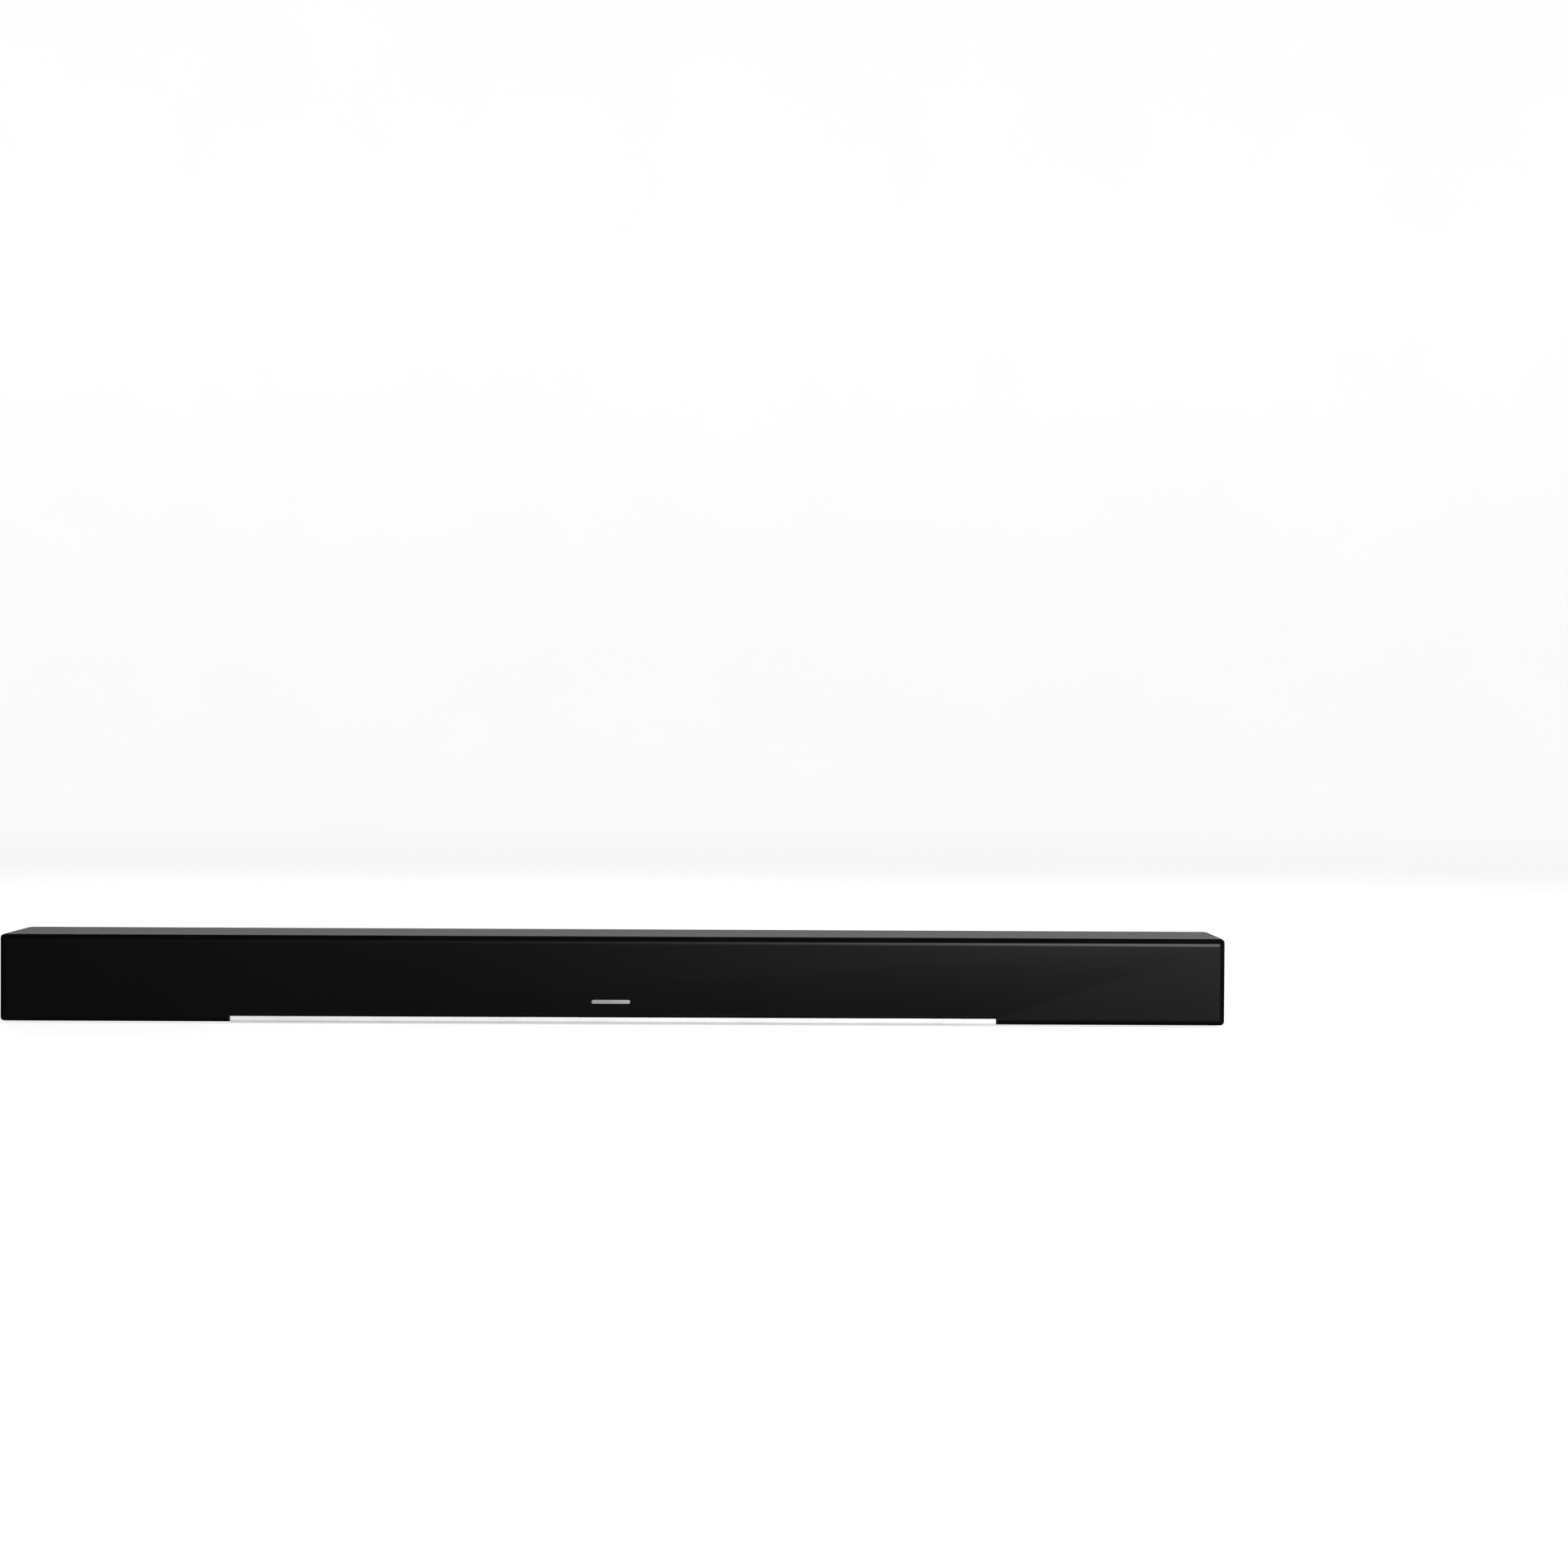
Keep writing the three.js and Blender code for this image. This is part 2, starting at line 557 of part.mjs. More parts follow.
// Front plate, narrower ferrite ring and back plate, with a well for the voice coil
function magnet() {
  const start = BASKET_BACK + GAP;
  return turned([[0, 30], [9.3, 30], [9.3, start], [20, start], [20, 27], [18.5, 27], [18.5, 32], [20, 32],
    [20, 36], [0, 36]]);
}

function tweeterBody() {
  return turned([[0, 1], [9.3, 1], [11, -1.9], [17, -1.9], [17, -GAP], [13.4, -GAP], [13.4, 14], [0, 14]]);
}

function tweeterDome() {
  return turned([[0, -1.5], [3.4, -1.2], [6.4, -0.5], [8.6, 0.5], [8.6, 0.7], [0, 0.7]]);
}

for (const [side, x] of [['left', -1], ['right', 1]]) {
  const woofer = [x * WOOFER_X, BAFFLE_FRONT, WOOFER_Z];
  const tweeter = [x * TWEETER_X, BAFFLE_FRONT, WOOFER_Z];
  add(`woofer_basket_${side}`, racetrackSolid(BASKET, true), STEEL, woofer);
  add(`woofer_magnet_${side}`, magnet(), FERRITE, woofer);
  add(`woofer_cone_${side}`, racetrackSolid(CONE), PAPER_CONE, woofer);
  add(`woofer_surround_${side}`, racetrackSolid(surroundProfile(), true), RUBBER, woofer);
  add(`tweeter_body_${side}`, tweeterBody(), BLACK_PLASTIC, tweeter);
  add(`tweeter_dome_${side}`, tweeterDome(), SILK, tweeter);
}

// ---- boards ----

const chip = (x, y, width, depth, height) => block(
  [x - width / 2, x + width / 2], [y - depth / 2, y + depth / 2], [PART_Z - 0.5, PART_Z - GAP + height]);

function mainBoard() {
  const board = block(MAIN_BOARD.x, MAIN_BOARD.y, [BOARD_Z, BOARD_Z + BOARD_THICK]);
  const chips = [chip(-20, 5, 14, 14, 1.4), chip(100, -8, 12, 12, 1.2), chip(144, -16, 9, 6, 1.6)];
  for (const x of [-44, -32]) {
    chips.push(chip(x, -8, 10, 10, 6), rodZ(x, 10, 4, [PART_Z - 0.5, PART_Z + 12], 14));
  }
  return join(board, ...chips);
}

function powerBoard() {
  const board = block(POWER_BOARD.x, POWER_BOARD.y, [BOARD_Z, BOARD_Z + BOARD_THICK]);
  const fuse = rodZ(-230, -6, 5, [PART_Z - 0.5, 30], 14);
  return join(board, chip(-131, -2, 7, 18, 14), chip(-208, 14, 12, 7, 9), fuse);
}

function heatSink() {
  const [left, base, top, fins] = [15, 3.5, 22, 9];
  const pitch = 7;
  const outline = [[left, PART_Z]];
  outline.push([left + (fins - 1) * pitch + 2, PART_Z]);
  for (let i = fins - 1; i >= 0; i--) {
    const x = left + i * pitch;
    outline.push([x + 2, PART_Z + top], [x, PART_Z + top]);
    if (i > 0) outline.push([x, PART_Z + base], [x - pitch + 2, PART_Z + base]);
  }
  return plateY(polygon(outline), [-22, -6]);
}

function transformer() {
  const core = block([-216, -184], [-19, 6], [PART_Z, PART_Z + 22]);
  return join(core, plateY(roundedRect(-200, PART_Z + 11, 26, 21.6, 8), [-22, 9]));
}

function capacitor() {
  return rodZ(-155, -12, 9, [PART_Z, PART_Z + 28], 22);
}

function wirelessModule() {
  const board = block([120, 142], [-8, 8], [PART_Z, PART_Z + 1]);
  return join(board, block([122, 137], [-6, 6], [PART_Z + 0.5, PART_Z + 3.2]));
}

function displayBoard() {
  const board = block([DISPLAY.x - 38, DISPLAY.x + 38], [-30.6, -29], [22, 48]);
  return join(board, block([DISPLAY.x - 27, DISPLAY.x + 27], [-32.6, -30.2], [28, 40]));
}

function keyBoard() {
  const switches = buttonPlaces.map(([, y]) => join(
    block([KEY_BOARD.x[1] - 0.3, SWITCH_TOP - 0.6], [y - 3, y + 3], [BUTTON_Z - 3, BUTTON_Z + 3]),
    rodX(y, BUTTON_Z, 1.6, [SWITCH_TOP - 0.8, SWITCH_TOP], 12)));
  return join(block(KEY_BOARD.x, KEY_BOARD.y, KEY_BOARD.z), ...switches);
}

add('main_board', mainBoard(), BOARD_GREEN);
add('heat_sink', heatSink(), ALUMINIUM);
add('power_board', powerBoard(), BOARD_GREEN);
add('power_transformer', transformer(), WINDING);
add('bulk_capacitor', capacitor(), BLACK_PLASTIC);
add('wireless_module', wirelessModule(), BOARD_GREEN);
add('display_board', displayBoard(), BOARD_GREEN);
add('key_board', keyBoard(), BOARD_GREEN);

// ---- sockets ----

function socketBody({ x, width, height }) {
  return block([x - width / 2, x + width / 2], [SOCKET_REAR, SOCKET_MOUTH], [PART_Z, PART_Z + height]);
}

// A slot `mouth` wide and high, `deep` into the socket, with a tongue standing in it
function slotSocket(socket, mouth, deep, tongue) {
  const z = PART_Z + socket.height / 2;
  const floor = SOCKET_MOUTH - deep;
  const space = block([socket.x - mouth[0] / 2, socket.x + mouth[0] / 2], [floor, BACK],
    [z - mouth[1] / 2, z + mouth[1] / 2]);
  const blade = block([socket.x - tongue[0] / 2, socket.x + tongue[0] / 2], [floor - 0.5, SOCKET_MOUTH - 2],
    [z + tongue[2] - tongue[1] / 2, z + tongue[2] + tongue[1] / 2]);
  return join(cut(socketBody(socket), space), blade);
}

function opticalSocket(socket) {
  const z = PART_Z + socket.height / 2;
  return cut(socketBody(socket), plateY(roundedRect(socket.x, z, 7.6, 7.6, 1), [SOCKET_MOUTH - 8, BACK], 1));
}

function auxJack(socket) {
  const z = PART_Z + socket.height / 2;
  return cut(socketBody(socket), rodY(socket.x, z, 1.8, [SOCKET_MOUTH - 12, BACK], 16));
}

// A figure-of-eight inlet: a long round-ended well with two pins
function mainsInlet() {
  const z = PART_Z + INLET.height / 2;
  const floor = SOCKET_MOUTH - INLET.wellDeep;
  const body = block([INLET.x - INLET.width / 2, INLET.x + INLET.width / 2], [INLET.rear, SOCKET_MOUTH],
    [PART_Z, PART_Z + INLET.height]);
  const well = plateY(roundedRect(INLET.x, z, 15.8, 8.4, 4.19), [floor, BACK], 6);
  const pins = [-1, 1].map((side) =>
    rodY(INLET.x + side * INLET.pinPitch / 2, z, 1.15, [floor - 0.5, SOCKET_MOUTH - 3], 10));
  return join(cut(body, well), ...pins);
}

add('mains_inlet', mainsInlet(), BLACK_PLASTIC);
add('hdmi_socket', slotSocket(SOCKETS.hdmi_socket, [13.9, 4.5], 10, [11, 1, 0]), STEEL);
add('usb_socket', slotSocket(SOCKETS.usb_socket, [12.5, 5.1], 11, [11, 1.9, 1]), STEEL);
add('optical_socket', opticalSocket(SOCKETS.optical_socket), BLACK_PLASTIC);
add('aux_jack', auxJack(SOCKETS.aux_jack), BLACK_PLASTIC);

// ---- wiring inside the case ----

function displayRibbon() {
  const band = [[-28.7, 26], [-28.7, 21], [-24, 17], [-19, PART_Z], [-13, PART_Z], [-13, PART_Z + 0.5],
    [-18.8, PART_Z + 0.5], [-23.8, 17.5], [-28.2, 21.3], [-28.2, 26]];
  return plateX(polygon(band), [MAIN_BOARD.x[1] - 16, MAIN_BOARD.x[1] - 4]);
}

add('woofer_cable_left', tube([[-56, -21, PART_Z + 1], [-75, -28, 18], [-180, -28.4, 20], [-262, -28, 24],
  [-279, -22, 32], [-297, -20, 34]], WOOFER_WIRE), WIRE);
add('woofer_cable_right', tube([[167, -22, PART_Z + 1], [186, -27.5, 16.5], [225, -28.4, 18], [262, -28, 24],
  [279, -22, 32], [297, -20, 34]], WOOFER_WIRE), WIRE);
add('key_cable', tube([[463, 5, 34], [457, 5.4, 33.6], [440, 16, 20], [380, 25, 9], [240, 25, 9],
  [184, 16, 12], [172.5, 8, PART_Z + 0.5]], KEY_WIRE), WIRE);
add('mains_lead', tube([[-171, 5.6, 23], [-171, 0, 24.5], [-171, -4, 21], [-171, -5, PART_Z]],
  MAINS_WIRE), WIRE);
add('display_ribbon', displayRibbon(), WIRE);

// ---- fixings ----

function wallBracket(x) {
  const y = [panelBack - BRACKET.thick, panelBack];
  const plate = plateY(roundedRect(x, BRACKET.z, BRACKET.width, BRACKET.height, 3), y);
  return cut(plate, rodY(x, KEYHOLE.low, KEYHOLE.head, THROUGH_BACK, 20),
    rodY(x, KEYHOLE.high, KEYHOLE.neck, THROUGH_BACK, 16),
    block([x - KEYHOLE.neck, x + KEYHOLE.neck], THROUGH_BACK, [KEYHOLE.low, KEYHOLE.high]));
}

function panScrew() {
  const face = FOOT_LIFT + 0.1;
  const { head, shank } = SCREW;
  const neck = face + SCREW.headThick;
  const tip = PAN_TOP + 6;
  return turned([[0, face], [head, face], [head, neck], [shank, neck], [shank, tip], [0, tip]], 12);
}

add('wall_bracket_left', wallBracket(-BRACKET_X), STEEL);
add('wall_bracket_right', wallBracket(BRACKET_X), STEEL);
SCREW_Y.forEach((y, row) => SCREW_X.forEach((x, i) => {
  add(`pan_screw_${row * SCREW_X.length + i + 1}`, panScrew().rotateX(Math.PI / 2), STEEL, [x, y, 0]);
}));

export default group;
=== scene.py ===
"""Soundbar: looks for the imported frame. Metres; X along the bar, front towards -Y, Z up."""
import json
import math

import bmesh
import bpy
from mathutils import Matrix, Vector
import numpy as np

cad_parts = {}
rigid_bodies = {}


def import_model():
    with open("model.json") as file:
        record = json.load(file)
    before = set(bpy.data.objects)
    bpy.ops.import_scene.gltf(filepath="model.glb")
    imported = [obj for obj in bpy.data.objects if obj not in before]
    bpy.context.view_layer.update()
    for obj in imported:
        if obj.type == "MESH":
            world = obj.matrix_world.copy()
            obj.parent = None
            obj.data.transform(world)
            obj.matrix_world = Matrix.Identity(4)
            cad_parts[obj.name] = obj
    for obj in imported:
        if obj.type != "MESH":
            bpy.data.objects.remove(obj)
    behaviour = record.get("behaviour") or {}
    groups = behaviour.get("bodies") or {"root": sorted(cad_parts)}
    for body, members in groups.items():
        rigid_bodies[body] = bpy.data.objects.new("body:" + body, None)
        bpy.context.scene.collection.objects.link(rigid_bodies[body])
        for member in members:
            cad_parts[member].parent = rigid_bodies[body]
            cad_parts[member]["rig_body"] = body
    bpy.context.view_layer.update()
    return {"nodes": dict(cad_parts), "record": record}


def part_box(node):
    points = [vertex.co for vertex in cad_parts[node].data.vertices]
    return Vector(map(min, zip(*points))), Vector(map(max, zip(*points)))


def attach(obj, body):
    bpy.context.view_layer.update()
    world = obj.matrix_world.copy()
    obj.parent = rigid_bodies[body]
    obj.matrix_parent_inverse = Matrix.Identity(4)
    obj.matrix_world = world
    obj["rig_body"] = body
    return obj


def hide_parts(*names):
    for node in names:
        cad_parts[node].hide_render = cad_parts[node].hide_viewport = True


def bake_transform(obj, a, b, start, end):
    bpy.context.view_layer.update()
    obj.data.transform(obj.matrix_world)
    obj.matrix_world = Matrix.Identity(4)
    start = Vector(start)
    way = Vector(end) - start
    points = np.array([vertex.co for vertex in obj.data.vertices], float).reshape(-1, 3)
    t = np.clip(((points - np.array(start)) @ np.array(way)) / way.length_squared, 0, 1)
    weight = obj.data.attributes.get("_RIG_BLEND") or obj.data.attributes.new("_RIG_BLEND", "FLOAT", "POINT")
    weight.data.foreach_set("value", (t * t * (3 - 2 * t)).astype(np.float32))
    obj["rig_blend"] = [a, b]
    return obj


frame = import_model()

MM = 0.001
SIDES = ("left", "right")

# Camera
CAMERA_PLACE = Vector((0.1108, -2.2626, 0.226))
CAMERA_YAW = math.radians(0.534)  # to the right
CAMERA_PITCH = math.radians(0.977)  # down
CAMERA_ROLL = math.radians(0.289)
CAMERA_LENS = 65.75
SENSOR = 36

# Light: place, target, width and height, watts
LIGHTS = {
    "key": ((0.92, -1.08, 0.84), (0.3, 0, 0.05), (1.17, 1.17), 34),
    "back": ((-0.05, 1.9, 1.2), (0, 0, 0.03), (3.0, 0.8), 15),
}
WORLD_STRENGTH = 0.035
FLOOR_GLOW = 0.8

# Every piece
SHARP_ANGLE = math.radians(32)
CASE_BEVEL = 0.25 * MM

# Noise scales: slow clouds in moulded and metal faces, and rub marks on metal
MOULD_CLOUDS = 22.0
METAL_CLOUDS = 30.0
RUB_MARKS = 900.0

# Cloth
CLOTH_EDGE = 3.4 * MM  # width of the curved rim
CLOTH_THICK = 0.45 * MM
CLOTH_CORNER = 3.0 * MM
NOTCH_EDGE = 1.2 * MM
NOTCH_GAP = 1.1 * MM  # over the strip
NOTCH_SIDE_GAP = 0.35 * MM
NOTCH_ROUND = 1.8 * MM
WEAVE_PITCH = 0.75 * MM

# Cover, badge and film
COVER_CORNER = 1.2 * MM
COVER_EDGE = 0.6 * MM
BADGE_CORNER = 1.45 * MM
BADGE_EDGE = 0.3 * MM
FILM_SPANS = ((-135 * MM, -45 * MM), (-12 * MM, 14 * MM))
FILM_THICK = 0.1 * MM

# Trim strip
STRIP_KNEE = 1.9 * MM
STRIP_LEAN = 1.3 * MM
STRIP_EASE = 0.7 * MM
STRIP_END = 0.8 * MM

# Feet and screws
FOOT_ROUND = 0.9 * MM
FOOT_GROOVES = (6.2 * MM, 4.2 * MM, 2.2 * MM)
SCREW_COUNT = 6
SCREW_HEAD = 1.2 * MM
SCREW_THREADS = 9

# Woofers
STRAIGHT = 22 * MM  # half the straight side
CONE_RIM = 1.9 * MM  # from the cone's front to the baffle's face
ROLL_RADIUS = 1.9 * MM
ROLL_FILM = 0.4 * MM

# Sockets
PIN_PITCH = 8.6 * MM
CONTACT_TIP, CONTACT_ROOT = 2.4 * MM, 8 * MM  # behind the socket's mouth
WINDOW_HALF = 3.6 * MM

# Buttons
KEY_HALF_Y, KEY_HALF_Z = 5.5 * MM, 3.5 * MM
KEY_SIDE = 3.6 * MM
STEM_RADIUS = 1.5 * MM
SYMBOL_STROKE = 0.45 * MM
SYMBOL_ARM = 1.5 * MM


# ---- camera, floor and light ----

def make_camera():
    yaw, pitch, roll = CAMERA_YAW, CAMERA_PITCH, CAMERA_ROLL
    level = Vector((math.sin(yaw), math.cos(yaw), 0))
    right = Vector((math.cos(yaw), -math.sin(yaw), 0))
    forward = math.cos(pitch) * level - math.sin(pitch) * Vector((0, 0, 1))
    up = math.cos(pitch) * Vector((0, 0, 1)) + math.sin(pitch) * level
    x_axis = math.cos(roll) * right + math.sin(roll) * up
    y_axis = math.cos(roll) * up - math.sin(roll) * right
    data = bpy.data.cameras.new("camera")
    data.sensor_width = SENSOR
    data.lens = CAMERA_LENS
    data.clip_end = 50
    camera = bpy.data.objects.new("camera", data)
    turn = Matrix((x_axis, y_axis, -forward)).transposed().to_4x4()
    camera.matrix_world = Matrix.Translation(CAMERA_PLACE) @ turn
    bpy.context.scene.collection.objects.link(camera)
    bpy.context.scene.camera = camera


def make_light(name, place, target, size, power):
    data = bpy.data.lights.new(name, "AREA")
    data.shape = "RECTANGLE"
    data.size, data.size_y = size
    data.energy = power
    light = bpy.data.objects.new(name, data)
    light.location = place
    light.rotation_euler = (Vector(target) - Vector(place)).to_track_quat("-Z", "Y").to_euler()
    bpy.context.scene.collection.objects.link(light)


def make_backdrop():
    """A round pale floor that curves up into a low wall on every side."""
    flat, rise, wall, steps, sides = 5.0, 1.5, 4.0, 10, 96
    profile = [(0.6, 0), (1.5, 0), (flat, 0)]
    for i in range(1, steps + 1):
        angle = i / steps * math.pi / 2
        profile.append((flat + rise * math.sin(angle), rise * (1 - math.cos(angle))))
    profile.append((flat + rise, wall))
    bm = bmesh.new()
    centre = bm.verts.new((0, 0, 0))
    rings = []
    for radius, height in profile:
        rings.append([bm.verts.new((x, y, height)) for x, y in circle(radius, sides)])
    for i in range(sides):
        bm.faces.new((centre, rings[0][i], rings[0][(i + 1) % sides]))
    for inner, outer in zip(rings, rings[1:]):
        band(bm, outer, inner)
    floor = mesh_object("floor", bm, floor_material())
    floor.visible_glossy = False


def make_world():
    world = bpy.data.worlds.new("world")
    bpy.context.scene.world = world
    world.use_nodes = True
    back = world.node_tree.nodes["Background"]
    back.inputs["Color"].default_value = (1, 1, 1, 1)
    back.inputs["Strength"].default_value = WORLD_STRENGTH


# ---- mesh helpers ----

def mesh_object(name, bm, material, smooth=True):
    bmesh.ops.recalc_face_normals(bm, faces=bm.faces)
    mesh = bpy.data.meshes.new(name)
    bm.to_mesh(mesh)
    bm.free()
    mesh.materials.append(material)
    if smooth:
        shade_smooth(mesh)
    piece = bpy.data.objects.new(name, mesh)
    bpy.context.scene.collection.objects.link(piece)
    return piece


def shade_smooth(mesh):
    for polygon in mesh.polygons:
        polygon.use_smooth = True
    mesh.set_sharp_from_angle(angle=SHARP_ANGLE)


def finish_piece(piece, body, nodes=()):
    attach(piece, body)
    if nodes:
        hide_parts(*nodes)
    return piece


def circle(radius, sides):
    """Points (u, v) round the origin."""
    turn = [2 * math.pi * i / sides for i in range(sides)]
    return [(radius * math.cos(a), radius * math.sin(a)) for a in turn]


def band(bm, low, high):
    """Faces between two closed rings of vertices."""
    for i in range(len(low)):
        j = (i + 1) % len(low)
        bm.faces.new((low[i], low[j], high[j], high[i]))


def skin(bm, rings, closed=False):
    """Faces over rings of points, with a face on each end ring unless the run closes on itself."""
    made = [[bm.verts.new(p) for p in ring] for ring in rings]
    pairs = list(zip(made, made[1:])) + ([(made[-1], made[0])] if closed else [])
    for low, high in pairs:
        band(bm, low, high)
    if not closed:
        bm.faces.new(made[0])
        bm.faces.new(made[-1])
    return made


def turned(bm, profile, centre, sides=40):
    """A round form about the vertical through centre, from (radius, z) points."""
    skin(bm, [[(centre.x + x, centre.y + y, z) for x, y in circle(radius, sides)] for radius, z in profile])


def rounded_outline(u0, u1, v0, v1, radius, steps=8):
    points = []
    corners = [(u1 - radius, v0 + radius, -90), (u1 - radius, v1 - radius, 0),
               (u0 + radius, v1 - radius, 90), (u0 + radius, v0 + radius, 180)]
    for u, v, start in corners:
        for i in range(steps + 1):
            angle = math.radians(start + 90 * i / steps)
            points.append((u + radius * math.cos(angle), v + radius * math.sin(angle)))
    return points


def soft_plate(bm, span_u, span_v, radius, base, face, edge, place, steps=6):
    """A plate from base to face, whose face edge is rounded by `edge`. place(u, v, level) gives the point."""
    toward = math.copysign(1, face - base)
    levels = [(base, 0.0)]
    for i in range(steps + 1):
        angle = math.pi / 2 * i / steps
        levels.append((face - toward * edge * (1 - math.sin(angle)), edge * (1 - math.cos(angle))))
    rings = []
    for level, inset in levels:
        outline = rounded_outline(span_u[0] + inset, span_u[1] - inset, span_v[0] + inset, span_v[1] - inset,
                                  max(radius - inset, 0.15 * MM))
        rings.append([place(u, v, level) for u, v in outline])
    return skin(bm, rings)


def on_front(u, v, level):
    return Vector((u, level, v))


def on_top(u, v, level):
    return Vector((u, v, level))


def on_side(u, v, level):
    return Vector((level, u, v))


def softened(name, material):
    """The CAD node's shape with its flat faces joined up and its edges rounded."""
    source = frame["nodes"][name]
    bm = bmesh.new()
    bm.from_mesh(source.data)
    bmesh.ops.remove_doubles(bm, verts=bm.verts, dist=1e-6)
    bmesh.ops.dissolve_limit(bm, angle_limit=math.radians(1), verts=bm.verts, edges=bm.edges)
    piece = mesh_object(name + "_shell", bm, material)
    bevel = piece.modifiers.new("edges", "BEVEL")
    bevel.width = CASE_BEVEL
    bevel.segments = 3
    bevel.limit_method = "ANGLE"
    bevel.angle_limit = math.radians(40)
    bevel.harden_normals = True
    return finish_piece(piece, source["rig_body"], [name])


# ---- materials ----

def principled(name, color, roughness, metallic=0.0):
    material = bpy.data.materials.new(name)
    material.use_nodes = True
    shader = material.node_tree.nodes["Principled BSDF"]
    shader.inputs["Base Color"].default_value = (*color, 1)
    shader.inputs["Roughness"].default_value = roughness
    shader.inputs["Metallic"].default_value = metallic
    return material, material.node_tree, shader


def node(tree, kind, **values):
    made = tree.nodes.new(kind)
    for key, value in values.items():
        setattr(made, key, value)
    return made


def object_space(tree, scale=(1, 1, 1)):
    place = node(tree, "ShaderNodeTexCoord")
    mapping = node(tree, "ShaderNodeMapping")
    mapping.inputs["Scale"].default_value = scale
    tree.links.new(place.outputs["Object"], mapping.inputs["Vector"])
    return mapping.outputs["Vector"]


def noise(tree, vector, scale, detail=3.0, rough=0.5):
    made = node(tree, "ShaderNodeTexNoise")
    made.inputs["Scale"].default_value = scale
    made.inputs["Detail"].default_value = detail
    made.inputs["Roughness"].default_value = rough
    tree.links.new(vector, made.inputs["Vector"])
    return made.outputs["Fac"]


def spread(tree, factor, low, high):
    """Carries a 0 to 1 factor into the range low to high."""
    made = node(tree, "ShaderNodeMapRange")
    made.inputs["To Min"].default_value = low
    made.inputs["To Max"].default_value = high
    tree.links.new(factor, made.inputs["Value"])
    return made.outputs["Result"]


def two_tone(tree, factor, dark, light):
    ramp = node(tree, "ShaderNodeValToRGB")
    ramp.color_ramp.elements[0].position = 0.3
    ramp.color_ramp.elements[1].position = 0.7
    ramp.color_ramp.elements[0].color = (*dark, 1)
    ramp.color_ramp.elements[1].color = (*light, 1)
    tree.links.new(factor, ramp.inputs["Fac"])
    return ramp.outputs["Color"]


def bump(tree, height, strength, distance, normal=None):
    made = node(tree, "ShaderNodeBump")
    made.inputs["Strength"].default_value = strength
    made.inputs["Distance"].default_value = distance
    tree.links.new(height, made.inputs["Height"])
    if normal:
        tree.links.new(normal, made.inputs["Normal"])
    return made.outputs["Normal"]


def moulded(name, color, roughness, grain=1400.0, depth=0.4, spread_rough=0.08, specular=0.5):
    """Moulded plastic or rubber: fine spark-eroded grain, slow changes of shade and gloss."""
    material, tree, shader = principled(name, color, roughness)
    space = object_space(tree)
    fine = noise(tree, space, grain, 2.0)
    slow = noise(tree, space, MOULD_CLOUDS, 4.0)
    lighter = tuple(min(1.0, c * 1.35 + 0.001) for c in color)
    darker = tuple(c * 0.8 for c in color)
    tree.links.new(two_tone(tree, slow, darker, lighter), shader.inputs["Base Color"])
    rough = spread(tree, slow, roughness - spread_rough, roughness + spread_rough)
    tree.links.new(rough, shader.inputs["Roughness"])
    tree.links.new(bump(tree, fine, depth, 0.05 * MM), shader.inputs["Normal"])
    shader.inputs["Specular IOR Level"].default_value = specular
    return material


def woven(name):
    """Fine black acoustic cloth: crossing threads with a little irregularity and lint."""
    material, tree, shader = principled(name, (0.001, 0.001, 0.0012), 0.4)
    links = tree.links
    space = object_space(tree)
    heights = []
    for direction in ("X", "Z"):
        wave = node(tree, "ShaderNodeTexWave", wave_type="BANDS", bands_direction=direction)
        wave.inputs["Scale"].default_value = 2 * math.pi / (20 * WEAVE_PITCH)
        wave.inputs["Distortion"].default_value = 0.6
        wave.inputs["Detail"].default_value = 1.0
        wave.inputs["Detail Scale"].default_value = 2.0
        links.new(space, wave.inputs["Vector"])
        heights.append(wave.outputs["Fac"])
    weave = node(tree, "ShaderNodeMath", operation="MAXIMUM")
    links.new(heights[0], weave.inputs[0])
    links.new(heights[1], weave.inputs[1])
    # Thick and thin threads run along the bar, and the tension changes slowly over the sheet.
    streak = noise(tree, object_space(tree, (14, 14, 900)), 1.0, 3.0)
    cloud = noise(tree, space, 9.0, 4.0)
    mixed = node(tree, "ShaderNodeMath", operation="MULTIPLY")
    links.new(weave.outputs[0], mixed.inputs[0])
    links.new(spread(tree, streak, 0.7, 1.15), mixed.inputs[1])
    color = two_tone(tree, mixed.outputs[0], (0.0006, 0.0006, 0.0007), (0.0018, 0.0018, 0.0021))
    links.new(color, shader.inputs["Base Color"])
    links.new(spread(tree, cloud, 0.345, 0.405), shader.inputs["Roughness"])
    threads = bump(tree, mixed.outputs[0], 0.2, 0.03 * MM)
    pulls = bump(tree, noise(tree, object_space(tree, (6, 6, 330)), 1.0, 2.0), 0.5, 0.05 * MM, threads)
    links.new(bump(tree, cloud, 0.5, 0.3 * MM, pulls), shader.inputs["Normal"])
    shader.inputs["Specular IOR Level"].default_value = 0.35
    return material


def metal(name, color, roughness, stretch=(1, 1, 1), scratch=0.1, metallic=1.0):
    """Bare or plated metal: fine rub marks along the piece and faint clouding."""
    material, tree, shader = principled(name, color, roughness, metallic)
    marks = noise(tree, object_space(tree, stretch), RUB_MARKS, 3.0)
    cloud = noise(tree, object_space(tree), METAL_CLOUDS, 3.0)
    tree.links.new(spread(tree, marks, roughness * 0.7, roughness * 1.5), shader.inputs["Roughness"])
    darker = tuple(c * 0.9 for c in color)
    tree.links.new(two_tone(tree, cloud, darker, color), shader.inputs["Base Color"])
    tree.links.new(bump(tree, marks, scratch, 0.01 * MM), shader.inputs["Normal"])
    return material


